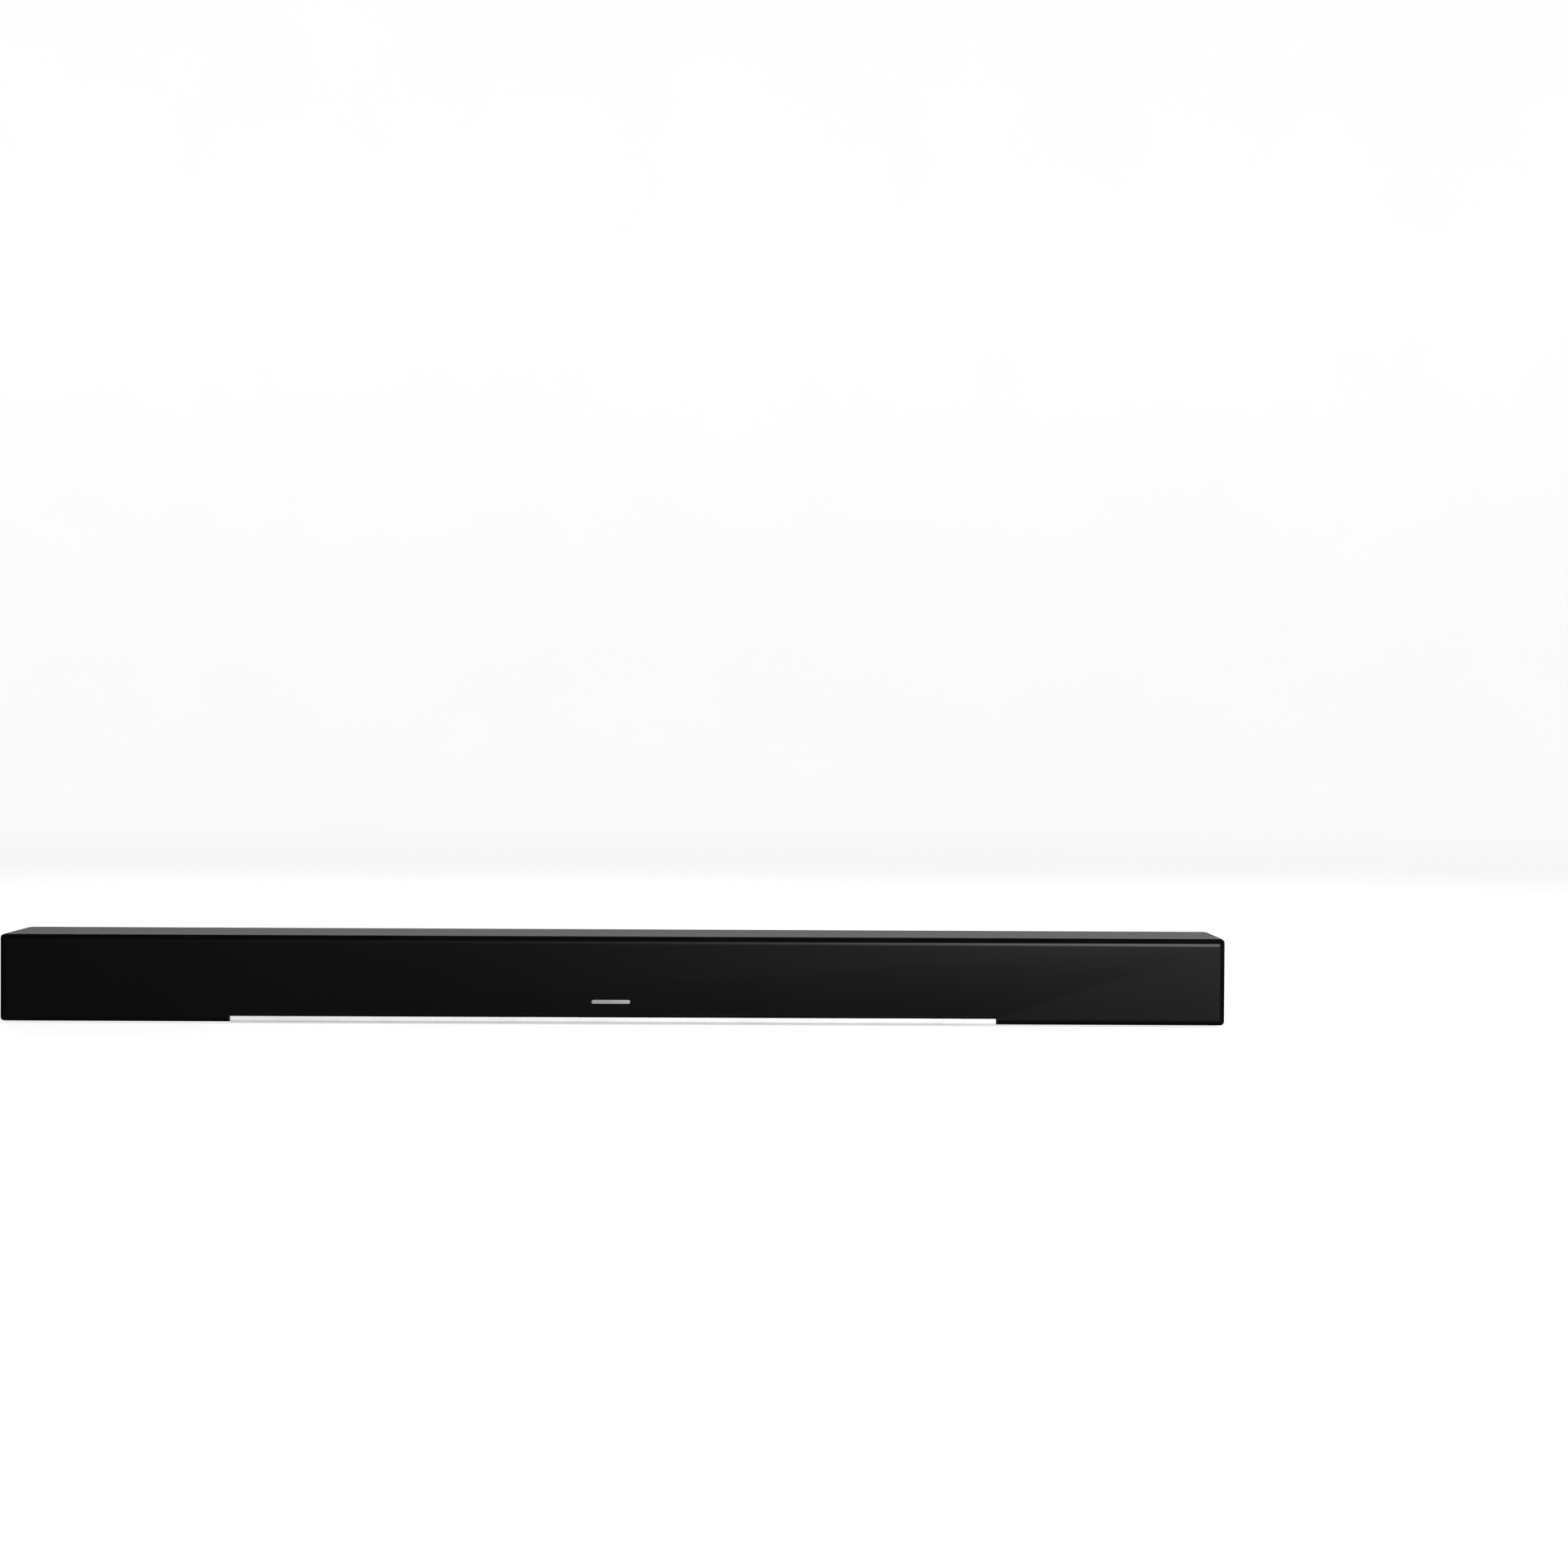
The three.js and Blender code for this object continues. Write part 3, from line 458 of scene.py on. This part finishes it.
def floor_material():
    material, tree, shader = principled("floor_paint", (0.3, 0.3, 0.3), 0.8)
    slow = noise(tree, object_space(tree), 3.0, 3.0)
    tree.links.new(two_tone(tree, slow, (0.29, 0.29, 0.29), (0.31, 0.31, 0.31)), shader.inputs["Base Color"])
    shader.inputs["Emission Color"].default_value = (1, 1, 1, 1)
    shader.inputs["Emission Strength"].default_value = FLOOR_GLOW
    return material


def smoked(name):
    material, tree, shader = principled(name, (0.004, 0.004, 0.005), 0.08)
    slow = noise(tree, object_space(tree), 60.0, 2.0)
    tree.links.new(spread(tree, slow, 0.05, 0.12), shader.inputs["Roughness"])
    shader.inputs["Coat Weight"].default_value = 0.4
    return material


MATERIALS = {
    "case_black": moulded("case_black", (0.006, 0.006, 0.007), 0.5),
    "cover_grey": moulded("cover_grey", (0.024, 0.0245, 0.026), 0.5, grain=2200, depth=0.25, specular=0.4),
    "grille_fabric": woven("grille_fabric"),
    "trim_chrome": metal("trim_chrome", (0.93, 0.93, 0.94), 0.25, (0.02, 1, 1), 0.05, metallic=0.35),
    "smoked_lens": smoked("smoked_lens"),
    "rubber_black": moulded("rubber_black", (0.012, 0.012, 0.012), 0.85, grain=900, depth=0.6),
    "button_black": moulded("button_black", (0.01, 0.01, 0.011), 0.38, grain=2000, depth=0.2),
    "steel_zinc": metal("steel_zinc", (0.62, 0.63, 0.64), 0.3, (1, 1, 0.1), metallic=0.6),
    "magnet_ferrite": moulded("magnet_ferrite", (0.03, 0.03, 0.032), 0.7, grain=600),
    "cone_paper": moulded("cone_paper", (0.02, 0.02, 0.022), 0.85, grain=500, depth=0.8),
    "dome_silk": moulded("dome_silk", (0.03, 0.03, 0.04), 0.7, grain=1600),
    "circuit_board": moulded("circuit_board", (0.02, 0.11, 0.045), 0.45, grain=400, depth=0.1),
    "heat_sink_aluminium": metal("heat_sink_aluminium", (0.6, 0.61, 0.63), 0.35, (1, 0.05, 1)),
    "winding_tape": moulded("winding_tape", (0.6, 0.42, 0.08), 0.4, grain=700, depth=0.1),
    "cable_jacket": moulded("cable_jacket", (0.2, 0.015, 0.015), 0.45, grain=1500, depth=0.1),
}
# A darker copy of the strip's chrome: painted shade on its leaning lower face.
TRIM_PAINTED_SHADE = metal("trim_painted_shade", (0.74, 0.75, 0.77), 0.35, (0.02, 1, 1), 0.05, metallic=0.35)
BADGE_SATIN = metal("badge_satin", (0.33, 0.325, 0.32), 0.4, (0.05, 1, 1), 0.1, metallic=0.35)
# Near-black with almost no gloss, darker than the case black: painted shade for the deep shadow in the gap
# under the cover and in the seam round the cloth's notch.
LIP_BLACK_PAINTED_SHADE = moulded("lip_black_painted_shade", (0.0012, 0.0012, 0.0014), 0.75, specular=0.02)
PRINT = moulded("symbol_print", (0.5, 0.5, 0.52), 0.55, grain=2600, depth=0.1)
LABEL = moulded("label_film", (0.09, 0.09, 0.095), 0.4, grain=3000, depth=0.05)
GOLD = metal("contact_gold", (0.95, 0.72, 0.35), 0.25, metallic=0.6)


def paint_cad_nodes():
    """The record's finish on every CAD node, and the lip's painted shade on the frame behind the cloth's
    notch.
    """
    for entry in frame["record"]["subparts"]:
        piece = frame["nodes"][entry["node"]]
        piece.data.materials.clear()
        piece.data.materials.append(MATERIALS[entry["material_slot"]])
        shade_smooth(piece.data)
    # Painted shade: the frame seen in the notch's gap takes the lip's near-black, which darkens the seam.
    frame["nodes"]["grille_frame"].data.materials[0] = LIP_BLACK_PAINTED_SHADE


# ---- grille cloth ----

def cloth_outline(inset):
    """The cloth's outline shrunk by inset, with the trim strip's notch in its lower edge."""
    low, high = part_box("grille_cloth")
    strip_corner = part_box("silver_trim_strip")[1]
    notch_inset = inset / CLOTH_EDGE * NOTCH_EDGE
    half = strip_corner.x + NOTCH_SIDE_GAP + notch_inset
    roof = strip_corner.z + NOTCH_GAP + notch_inset
    radius = max(CLOTH_CORNER - inset, 0.3 * MM)
    x0, x1, z0, z1 = low.x + inset, high.x - inset, low.z + inset, high.z - inset
    points = []

    def arc(x, z, r, start, stop, steps=6):
        for i in range(steps + 1):
            angle = math.radians(start + (stop - start) * i / steps)
            points.append((x + r * math.cos(angle), z + r * math.sin(angle)))

    arc(x1 - radius, z0 + radius, radius, -90, 0)
    arc(x1 - radius, z1 - radius, radius, 0, 90)
    arc(x0 + radius, z1 - radius, radius, 90, 180)
    arc(x0 + radius, z0 + radius, radius, 180, 270)
    room = min(NOTCH_ROUND, (roof - z0) / 2.2)
    arc(-half - room, z0 + room, room, -90, 0)
    arc(-half + room, roof - room, room, 180, 90)
    arc(half - room, roof - room, room, 90, 0)
    arc(half + room, z0 + room, room, 180, 270)
    return points


def make_cloth():
    """A thin sheet whose rim curves back to the frame."""
    low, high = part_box("grille_cloth")
    depth = high.y - low.y
    bm = bmesh.new()
    steps = 8
    levels = [(high.y, 0.0), (high.y - 0.1 * MM, 0.0)]
    for i in range(steps + 1):
        angle = math.pi / 2 * i / steps
        level = low.y + (depth - 0.2 * MM) * (1 - math.sin(angle))
        levels.append((level, CLOTH_EDGE * (1 - math.cos(angle))))
    made = []
    for level, inset in levels:
        made.append([bm.verts.new((x, level, z)) for x, z in cloth_outline(inset)])
    for back, front in zip(made, made[1:]):
        band(bm, back, front)
    bm.faces.new(made[-1])
    piece = mesh_object("grille_cloth_woven", bm, MATERIALS["grille_fabric"])
    thick = piece.modifiers.new("thickness", "SOLIDIFY")
    thick.thickness = CLOTH_THICK
    thick.offset = -1
    finish_piece(piece, "case", ["grille_cloth"])


# ---- case shells ----

def make_baffle():
    """The lip round the cloth in near-black painted shade for the gap under the cover, with the case's own
    finish on its ends.
    """
    # The lip takes near-black painted shade, darker than the case; the ends get the case black below.
    piece = softened("front_baffle", LIP_BLACK_PAINTED_SHADE)
    piece.data.materials.append(MATERIALS["case_black"])
    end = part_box("front_baffle")[1].x
    for polygon in piece.data.polygons:
        if abs(polygon.normal.x) > 0.85 and abs(polygon.center.x) > end - 0.5 * MM:
            polygon.material_index = 1


def make_cover():
    """A flat plate whose upper edges are softened."""
    low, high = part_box("top_cover")
    bm = bmesh.new()
    soft_plate(bm, (low.x, high.x), (low.y, high.y), COVER_CORNER, low.z, high.z, COVER_EDGE, on_top)
    piece = mesh_object("top_cover_shell", bm, MATERIALS["cover_grey"])
    finish_piece(piece, "case", ["top_cover"])


def make_badge():
    """A plain satin plate, low on the cloth."""
    low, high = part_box("front_badge")
    bm = bmesh.new()
    spans = (low.x, high.x), (low.z, high.z)
    soft_plate(bm, *spans, BADGE_CORNER, high.y, low.y, BADGE_EDGE, on_front, steps=4)
    piece = mesh_object("front_badge_plate", bm, BADGE_SATIN)
    finish_piece(piece, "case", ["front_badge"])


def make_strip():
    """An upright face over one that leans under the case, with the edges eased, and painted shade on the
    leaning face.
    """
    low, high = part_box("silver_trim_strip")
    ease, knee = STRIP_EASE, low.z + STRIP_KNEE
    section = [(high.y, low.z), (high.y, high.z)]
    for i in range(7):
        angle = math.radians(90 + 15 * i)
        section.append((low.y + ease + ease * math.cos(angle), high.z - ease + ease * math.sin(angle)))
    section += [(low.y, knee + 0.15 * MM), (low.y + 0.03 * MM, knee - 0.05 * MM)]
    section += [(low.y + STRIP_LEAN - 0.1 * MM, low.z + 0.15 * MM), (low.y + STRIP_LEAN + 0.1 * MM, low.z)]
    middle = Vector(((low.y + high.y) / 2, (low.z + high.z) / 2))
    turn = [math.pi / 8 * i for i in range(4, -1, -1)]
    rounding = [(STRIP_END * (1 - math.sin(a)), STRIP_END * (1 - math.cos(a))) for a in turn]
    stations = [(low.x + along, shrink) for along, shrink in rounding]
    stations += [(high.x - along, shrink) for along, shrink in reversed(rounding)]
    rings = []
    for x, shrink in stations:
        ring = []
        for y, z in section:
            toward = (middle - Vector((y, z))).normalized() * shrink
            ring.append((x, y + toward.x, z + toward.y))
        rings.append(ring)
    bm = bmesh.new()
    skin(bm, rings)
    piece = mesh_object("silver_trim_bar", bm, MATERIALS["trim_chrome"])
    # Painted shade: the faces below the knee take the darker copy of the chrome.
    piece.data.materials.append(TRIM_PAINTED_SHADE)
    for polygon in piece.data.polygons:
        if polygon.center.z < knee and abs(polygon.normal.x) < 0.5:
            polygon.material_index = 1
    finish_piece(piece, "case", ["silver_trim_strip"])


def make_feet():
    """Rubber pads with a rounded rim and three ring grooves underneath."""
    for name in ("foot_front_left", "foot_front_right", "foot_rear_left", "foot_rear_right"):
        low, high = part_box(name)
        centre, radius = (low + high) / 2, (high.x - low.x) / 2
        profile = [(0.02 * MM, high.z), (radius, high.z), (radius, low.z + FOOT_ROUND)]
        for i in range(1, 6):
            angle = math.pi / 2 * i / 5
            profile.append((radius - FOOT_ROUND * (1 - math.cos(angle)),
                            low.z + FOOT_ROUND * (1 - math.sin(angle))))
        for groove in FOOT_GROOVES:
            profile += [(groove + 0.4 * MM, low.z), (groove + 0.25 * MM, low.z + 0.3 * MM),
                        (groove - 0.25 * MM, low.z + 0.3 * MM), (groove - 0.4 * MM, low.z)]
        profile.append((0.02 * MM, low.z))
        bm = bmesh.new()
        turned(bm, profile, centre)
        piece = mesh_object(name + "_pad", bm, MATERIALS["rubber_black"])
        finish_piece(piece, "case", [name])


# ---- sockets and fixings ----

def cross_screw(bm, centre, radius, face, back, arm=1.25 * MM, width=0.42 * MM, deep=0.8 * MM):
    """A domed head whose face looks down at z = face, with a tapered cross recess."""
    def ring(r, z):
        return [bm.verts.new((centre.x + x, centre.y + y, z)) for x, y in circle(r, 40)]

    def cross(scale, z):
        half, reach = width / 2 * scale, arm * scale
        quarter = [(reach, -half), (reach, half), (half, half)]
        points = []
        for i in range(4):
            for u, v in quarter:
                for _ in range(i):
                    u, v = -v, u
                points.append(bm.verts.new((centre.x + u, centre.y + v, z)))
        return points

    rings = [ring(radius, back)]
    for i in range(5):
        angle = math.pi / 2 * i / 4
        shrink, rise = 0.6 * MM * (1 - math.cos(angle)), 0.5 * MM * (1 - math.sin(angle))
        rings.append(ring(radius - shrink, face + rise))
    for low, high in zip(rings, rings[1:]):
        band(bm, low, high)
    bm.faces.new(rings[0])
    mouth = cross(1.0, face)
    foot = cross(0.75, face + deep)
    band(bm, mouth, foot)
    bm.faces.new(foot)
    edges = []
    for loop in (rings[-1], mouth):
        edges += [bm.edges.get((loop[i], loop[(i + 1) % len(loop)])) for i in range(len(loop))]
    bmesh.ops.triangle_fill(bm, edges=edges, use_beauty=True)


def make_screws():
    """A cross head and a threaded shank for each screw under the pan."""
    for i in range(1, SCREW_COUNT + 1):
        name = f"pan_screw_{i}"
        low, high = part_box(name)
        centre, radius = (low + high) / 2, (high.x - low.x) / 2
        bm = bmesh.new()
        cross_screw(bm, centre, radius, low.z, low.z + SCREW_HEAD)
        shank = [(0.3 * MM, high.z)]
        start, stop = high.z - 0.4 * MM, low.z + SCREW_HEAD + 0.1 * MM
        for half_turn in range(SCREW_THREADS * 2 + 1):
            level = start + (stop - start) * half_turn / (SCREW_THREADS * 2)
            shank.append((1.35 * MM if half_turn % 2 else 1.05 * MM, level))
        turned(bm, shank, centre, sides=20)
        piece = mesh_object(name + "_cross_head", bm, MATERIALS["steel_zinc"])
        finish_piece(piece, "case", [name])


def make_inlet_pins():
    """Plated sleeves with round noses over the inlet's two pins."""
    low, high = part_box("mains_inlet")
    centre = (low + high) / 2
    mouth = high.y
    profile = [(1.2 * MM, mouth - 13.9 * MM), (1.2 * MM, mouth - 3.4 * MM), (0.95 * MM, mouth - 2.95 * MM),
               (0.5 * MM, mouth - 2.75 * MM)]
    bm = bmesh.new()
    for pin in (centre.x - PIN_PITCH / 2, centre.x + PIN_PITCH / 2):
        skin(bm, [[(pin + x, y, centre.z + z) for x, z in circle(radius, 24)] for radius, y in profile])
    finish_piece(mesh_object("mains_inlet_pins", bm, MATERIALS["steel_zinc"]), "case")


def make_contacts(name, socket, count, span, level, facing):
    """Gold contacts side by side on a socket's tongue."""
    low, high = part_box(socket)
    centre = (low + high) / 2
    bm = bmesh.new()
    pitch = span / count
    for i in range(count):
        x = centre.x + (i - (count - 1) / 2) * pitch
        base = centre.z + level
        soft_plate(bm, (x - pitch * 0.3, x + pitch * 0.3), (high.y - CONTACT_ROOT, high.y - CONTACT_TIP),
                   pitch * 0.1, base, base + facing * 0.08 * MM, 0.04 * MM, on_top, steps=2)
    finish_piece(mesh_object(name, bm, GOLD), "case")


def make_jack_ring():
    """A gold ring round the jack's mouth. Its section is radius and how far it stands out, in millimetres."""
    low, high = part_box("aux_jack")
    centre = (low + high) / 2
    section = [(1.85, -2.0), (1.85, 0.15), (2.05, 0.32), (3.0, 0.32),
               (3.25, 0.1), (3.25, -0.02), (2.2, -0.02), (2.2, -2.0)]
    rings = []
    for radius, out in section:
        rings.append([(centre.x + x, high.y + out * MM, centre.z + z) for x, z in circle(radius * MM, 40)])
    bm = bmesh.new()
    skin(bm, rings, closed=True)
    finish_piece(mesh_object("aux_jack_ring", bm, GOLD), "case")


def make_optical_window():
    """A dark window on the floor of the optical socket's pocket."""
    low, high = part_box("optical_socket")
    centre = (low + high) / 2
    spans = [(middle - WINDOW_HALF, middle + WINDOW_HALF) for middle in (centre.x, centre.z)]
    bm = bmesh.new()
    soft_plate(bm, *spans, 0.8 * MM, high.y - 7.98 * MM, high.y - 7.65 * MM, 0.15 * MM, on_front)
    finish_piece(mesh_object("optical_window", bm, MATERIALS["smoked_lens"]), "case")


def make_label():
    """A blank film under the case, where a rating plate would be."""
    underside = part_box("bottom_pan")[0].z
    bm = bmesh.new()
    soft_plate(bm, *FILM_SPANS, 1.5 * MM, underside + 0.02 * MM, underside - FILM_THICK, 0.05 * MM, on_top,
               steps=2)
    finish_piece(mesh_object("rating_film", bm, LABEL), "case")


# ---- drivers ----

def make_surrounds():
    """Half-round rubber rolls whose outer edge stays with the case and inner edge follows the cone."""
    for side in SIDES:
        name = f"woofer_surround_{side}"
        low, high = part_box(name)
        centre = (low + high) / 2
        outer = (high.z - low.z) / 2
        inner, middle = outer - 7.8 * MM, outer - 4.4 * MM
        face = high.y - ROLL_FILM
        front = [(outer, face)] + roll_arch(middle, ROLL_RADIUS, face) + [(inner, face)]
        under = roll_arch(middle, ROLL_RADIUS - ROLL_FILM, high.y)
        back = [(inner, high.y)] + under[::-1] + [(outer, high.y)]
        rings = [racetrack(centre, radius, y) for radius, y in front + back]
        bm = bmesh.new()
        skin(bm, rings, closed=True)
        piece = mesh_object(name + "_roll", bm, MATERIALS["rubber_black"])
        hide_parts(name)
        edge, heart = (centre.x, high.y, low.z), (centre.x, high.y, centre.z)
        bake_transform(piece, "case", f"{side}_cone", start=edge, end=heart)
        weights = piece.data.attributes["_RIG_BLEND"].data
        still, moving = middle + ROLL_RADIUS, middle - ROLL_RADIUS
        for vertex, weight in zip(piece.data.vertices, weights):
            across = max(abs(vertex.co.x - centre.x) - STRAIGHT, 0)
            radius = math.hypot(across, vertex.co.z - centre.z)
            weight.value = min(max((still - radius) / (still - moving), 0), 1)


def roll_arch(middle, radius, level, steps=12):
    """A flattened half circle of (radius, y) points, which bulges forward from level."""
    angles = [math.pi * i / steps for i in range(steps + 1)]
    return [(middle + radius * math.cos(a), level - 0.85 * radius * math.sin(a)) for a in angles]


def racetrack(centre, radius, y, straight=STRAIGHT, steps=20):
    """Points round two half circles whose centres stand `straight` to each side."""
    points = []
    for end in (1, -1):
        for i in range(steps + 1):
            angle = math.radians(-90 * end + 180 * i / steps)
            x = centre.x + end * straight + radius * math.cos(angle)
            points.append((x, y, centre.z + radius * math.sin(angle)))
    return points


def cone_profile():
    """A domed cap, a flared cone that widens to the racetrack rim, and the coil former behind."""
    cap = [(0.8 + 7.4 * t, 0.4 + 0.5 * t, 3.6 + 3 * t * t) for t in (i / 8 for i in range(9))]
    flare = []
    for i in range(9):
        t = i / 8
        flare.append((8.2 + 9 * t, 1 + 21 * t, 6.6 - 8.5 * t - 1.4 * t * (1 - t)))
    return cap + flare + [(17.2, 22, -1.1), (9.2, 1.6, 8.6), (8.7, 0.2, 9.6), (8.7, 0.2, 26), (0.8, 0.2, 26)]


def dome_profile():
    dome = [(8.6 * t, 0, 2 * t * t - 1.5) for t in (i / 16 for i in range(1, 17))]
    return dome + [(8.6, 0, 0.7), (0.1, 0, 0.7)]


def make_drivers():
    """Both woofers and tweeters, from profiles in millimetres.

    A profile's points are radius, half the straight side, and depth behind the baffle's face.
    """
    basket = [(25, 22, -1.9), (25, 22, -0.3), (20.5, 22, -0.3), (20.5, 22, 5), (16, 4, 22.4),
              (9.6, 0.2, 22.4), (9.6, 0.2, 20.8), (15, 3, 20.8), (19.2, 22, 4.6), (19.2, 22, -1.9)]
    magnet = [(0.1, 0, 30), (9.3, 0, 30), (9.3, 0, 22.7), (20, 0, 22.7), (20, 0, 27), (18.5, 0, 27),
              (18.5, 0, 32), (20, 0, 32), (20, 0, 36), (0.1, 0, 36)]
    tweeter = [(0.1, 0, 1), (9.3, 0, 1), (11, 0, -1.9), (17, 0, -1.9), (17, 0, -0.3), (13.4, 0, -0.3),
               (13.4, 0, 14), (0.1, 0, 14)]
    parts = {
        "woofer_basket": (basket, "steel_zinc"),
        "woofer_magnet": (magnet, "magnet_ferrite"),
        "woofer_cone": (cone_profile(), "cone_paper"),
        "tweeter_body": (tweeter, "case_black"),
        "tweeter_dome": (dome_profile(), "dome_silk"),
    }
    for side in SIDES:
        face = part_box(f"woofer_cone_{side}")[0].y + CONE_RIM
        for kind, (profile, slot) in parts.items():
            name = f"{kind}_{side}"
            low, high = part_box(name)
            centre = (low + high) / 2
            bm = bmesh.new()
            rings = [racetrack(centre, r * MM, face + depth * MM, max(straight, 0.01) * MM)
                     for r, straight, depth in profile]
            skin(bm, rings, closed=profile is basket)
            piece = mesh_object(name + "_form", bm, MATERIALS[slot])
            finish_piece(piece, frame["nodes"][name]["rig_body"], [name])


# ---- buttons ----

def ribbon(bm, points, width, x0, x1):
    """A flat stroke of the given width along points (y, z), from x0 to x1."""
    count = len(points)
    sides = ([], [])
    for i, point in enumerate(points):
        before, after = points[max(i - 1, 0)], points[min(i + 1, count - 1)]
        along = (Vector(after) - Vector(before)).normalized()
        across = Vector((-along.y, along.x)) * width / 2
        sides[0].append(Vector(point) + across)
        sides[1].append(Vector(point) - across)
    ring = sides[0] + sides[1][::-1]
    low = [bm.verts.new((x0, p.x, p.y)) for p in ring]
    high = [bm.verts.new((x1, p.x, p.y)) for p in ring]
    band(bm, low, high)
    for i in range(count - 1):
        a, b, c, d = i, i + 1, len(ring) - 2 - i, len(ring) - 1 - i
        bm.faces.new((low[a], low[b], low[c], low[d]))
        bm.faces.new((high[a], high[b], high[c], high[d]))


def open_ring(y, z, radius, start, stop, steps=18):
    turn = [math.radians(start + (stop - start) * i / steps) for i in range(steps + 1)]
    return [(y + radius * math.cos(a), z + radius * math.sin(a)) for a in turn]


def symbol_strokes(name, y, z):
    """Minus, plus, the power sign, or an arrow into a box."""
    arm, gap = SYMBOL_ARM, 0.2 * MM
    level = [(y - arm, z), (y + arm, z)]
    if name == "volume_down_button":
        return [level]
    if name == "volume_up_button":
        return [level, [(y, z - arm), (y, z - gap)], [(y, z + gap), (y, z + arm)]]
    if name == "power_button":
        return [open_ring(y, z, arm, 125, 415), [(y, z + 0.1 * MM), (y, z + 1.9 * MM)]]
    left, right = y - 0.4 * MM, y + 1.7 * MM
    box = [(left, z + arm), (right, z + arm), (right, z - arm), (left, z - arm)]
    shaft = [(y - 2.2 * MM, z), (y + 0.3 * MM, z)]
    head = [(left, z + 0.7 * MM), (y + 0.5 * MM, z), (left, z - 0.7 * MM)]
    return [box, shaft, head]


def make_buttons():
    """Each key has a soft cap, a flange behind the pocket's wall, a stem and a printed symbol."""
    for name in ("source_button", "volume_down_button", "volume_up_button", "power_button"):
        low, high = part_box(name)
        body = frame["nodes"][name]["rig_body"]
        y, z = (low.y + high.y) / 2, (low.z + high.z) / 2
        spans = (y - KEY_HALF_Y, y + KEY_HALF_Y), (z - KEY_HALF_Z, z + KEY_HALF_Z)
        bm = bmesh.new()
        soft_plate(bm, *spans, 3.4 * MM, high.x - KEY_SIDE, high.x, 0.7 * MM, on_side)
        soft_plate(bm, (low.y, high.y), (low.z, high.z), 4 * MM, high.x - KEY_SIDE - 0.3 * MM,
                   high.x - 2.75 * MM, 0.2 * MM, on_side, steps=2)
        stem = [[(x, y + u, z + v) for u, v in circle(STEM_RADIUS, 24)]
                for x in (low.x, high.x - KEY_SIDE - 0.2 * MM)]
        skin(bm, stem)
        piece = mesh_object(name + "_key", bm, MATERIALS["button_black"])
        finish_piece(piece, body, [name])
        bm = bmesh.new()
        for stroke in symbol_strokes(name, y, z):
            ribbon(bm, stroke, SYMBOL_STROKE, high.x - 0.05 * MM, high.x + 0.06 * MM)
        finish_piece(mesh_object(name + "_symbol", bm, PRINT, smooth=False), body)


# ---- everything ----

bpy.context.scene.view_settings.view_transform = "Standard"
make_camera()
make_world()
make_backdrop()
for light_name, light_facts in LIGHTS.items():
    make_light(light_name, *light_facts)

paint_cad_nodes()
make_cloth()
make_cover()
make_badge()
make_strip()
make_feet()
make_buttons()
make_screws()
make_inlet_pins()
make_contacts("hdmi_contacts", "hdmi_socket", 10, 10 * MM, 0.5 * MM, 1)
make_contacts("usb_contacts", "usb_socket", 4, 9.6 * MM, 0.05 * MM, -1)
make_jack_ring()
make_optical_window()
make_label()
make_surrounds()
make_drivers()
make_baffle()
for shell in ("back_panel", "bottom_pan", "left_end_cap", "right_end_cap", "signal_bay", "power_bay"):
    softened(shell, MATERIALS["case_black"])
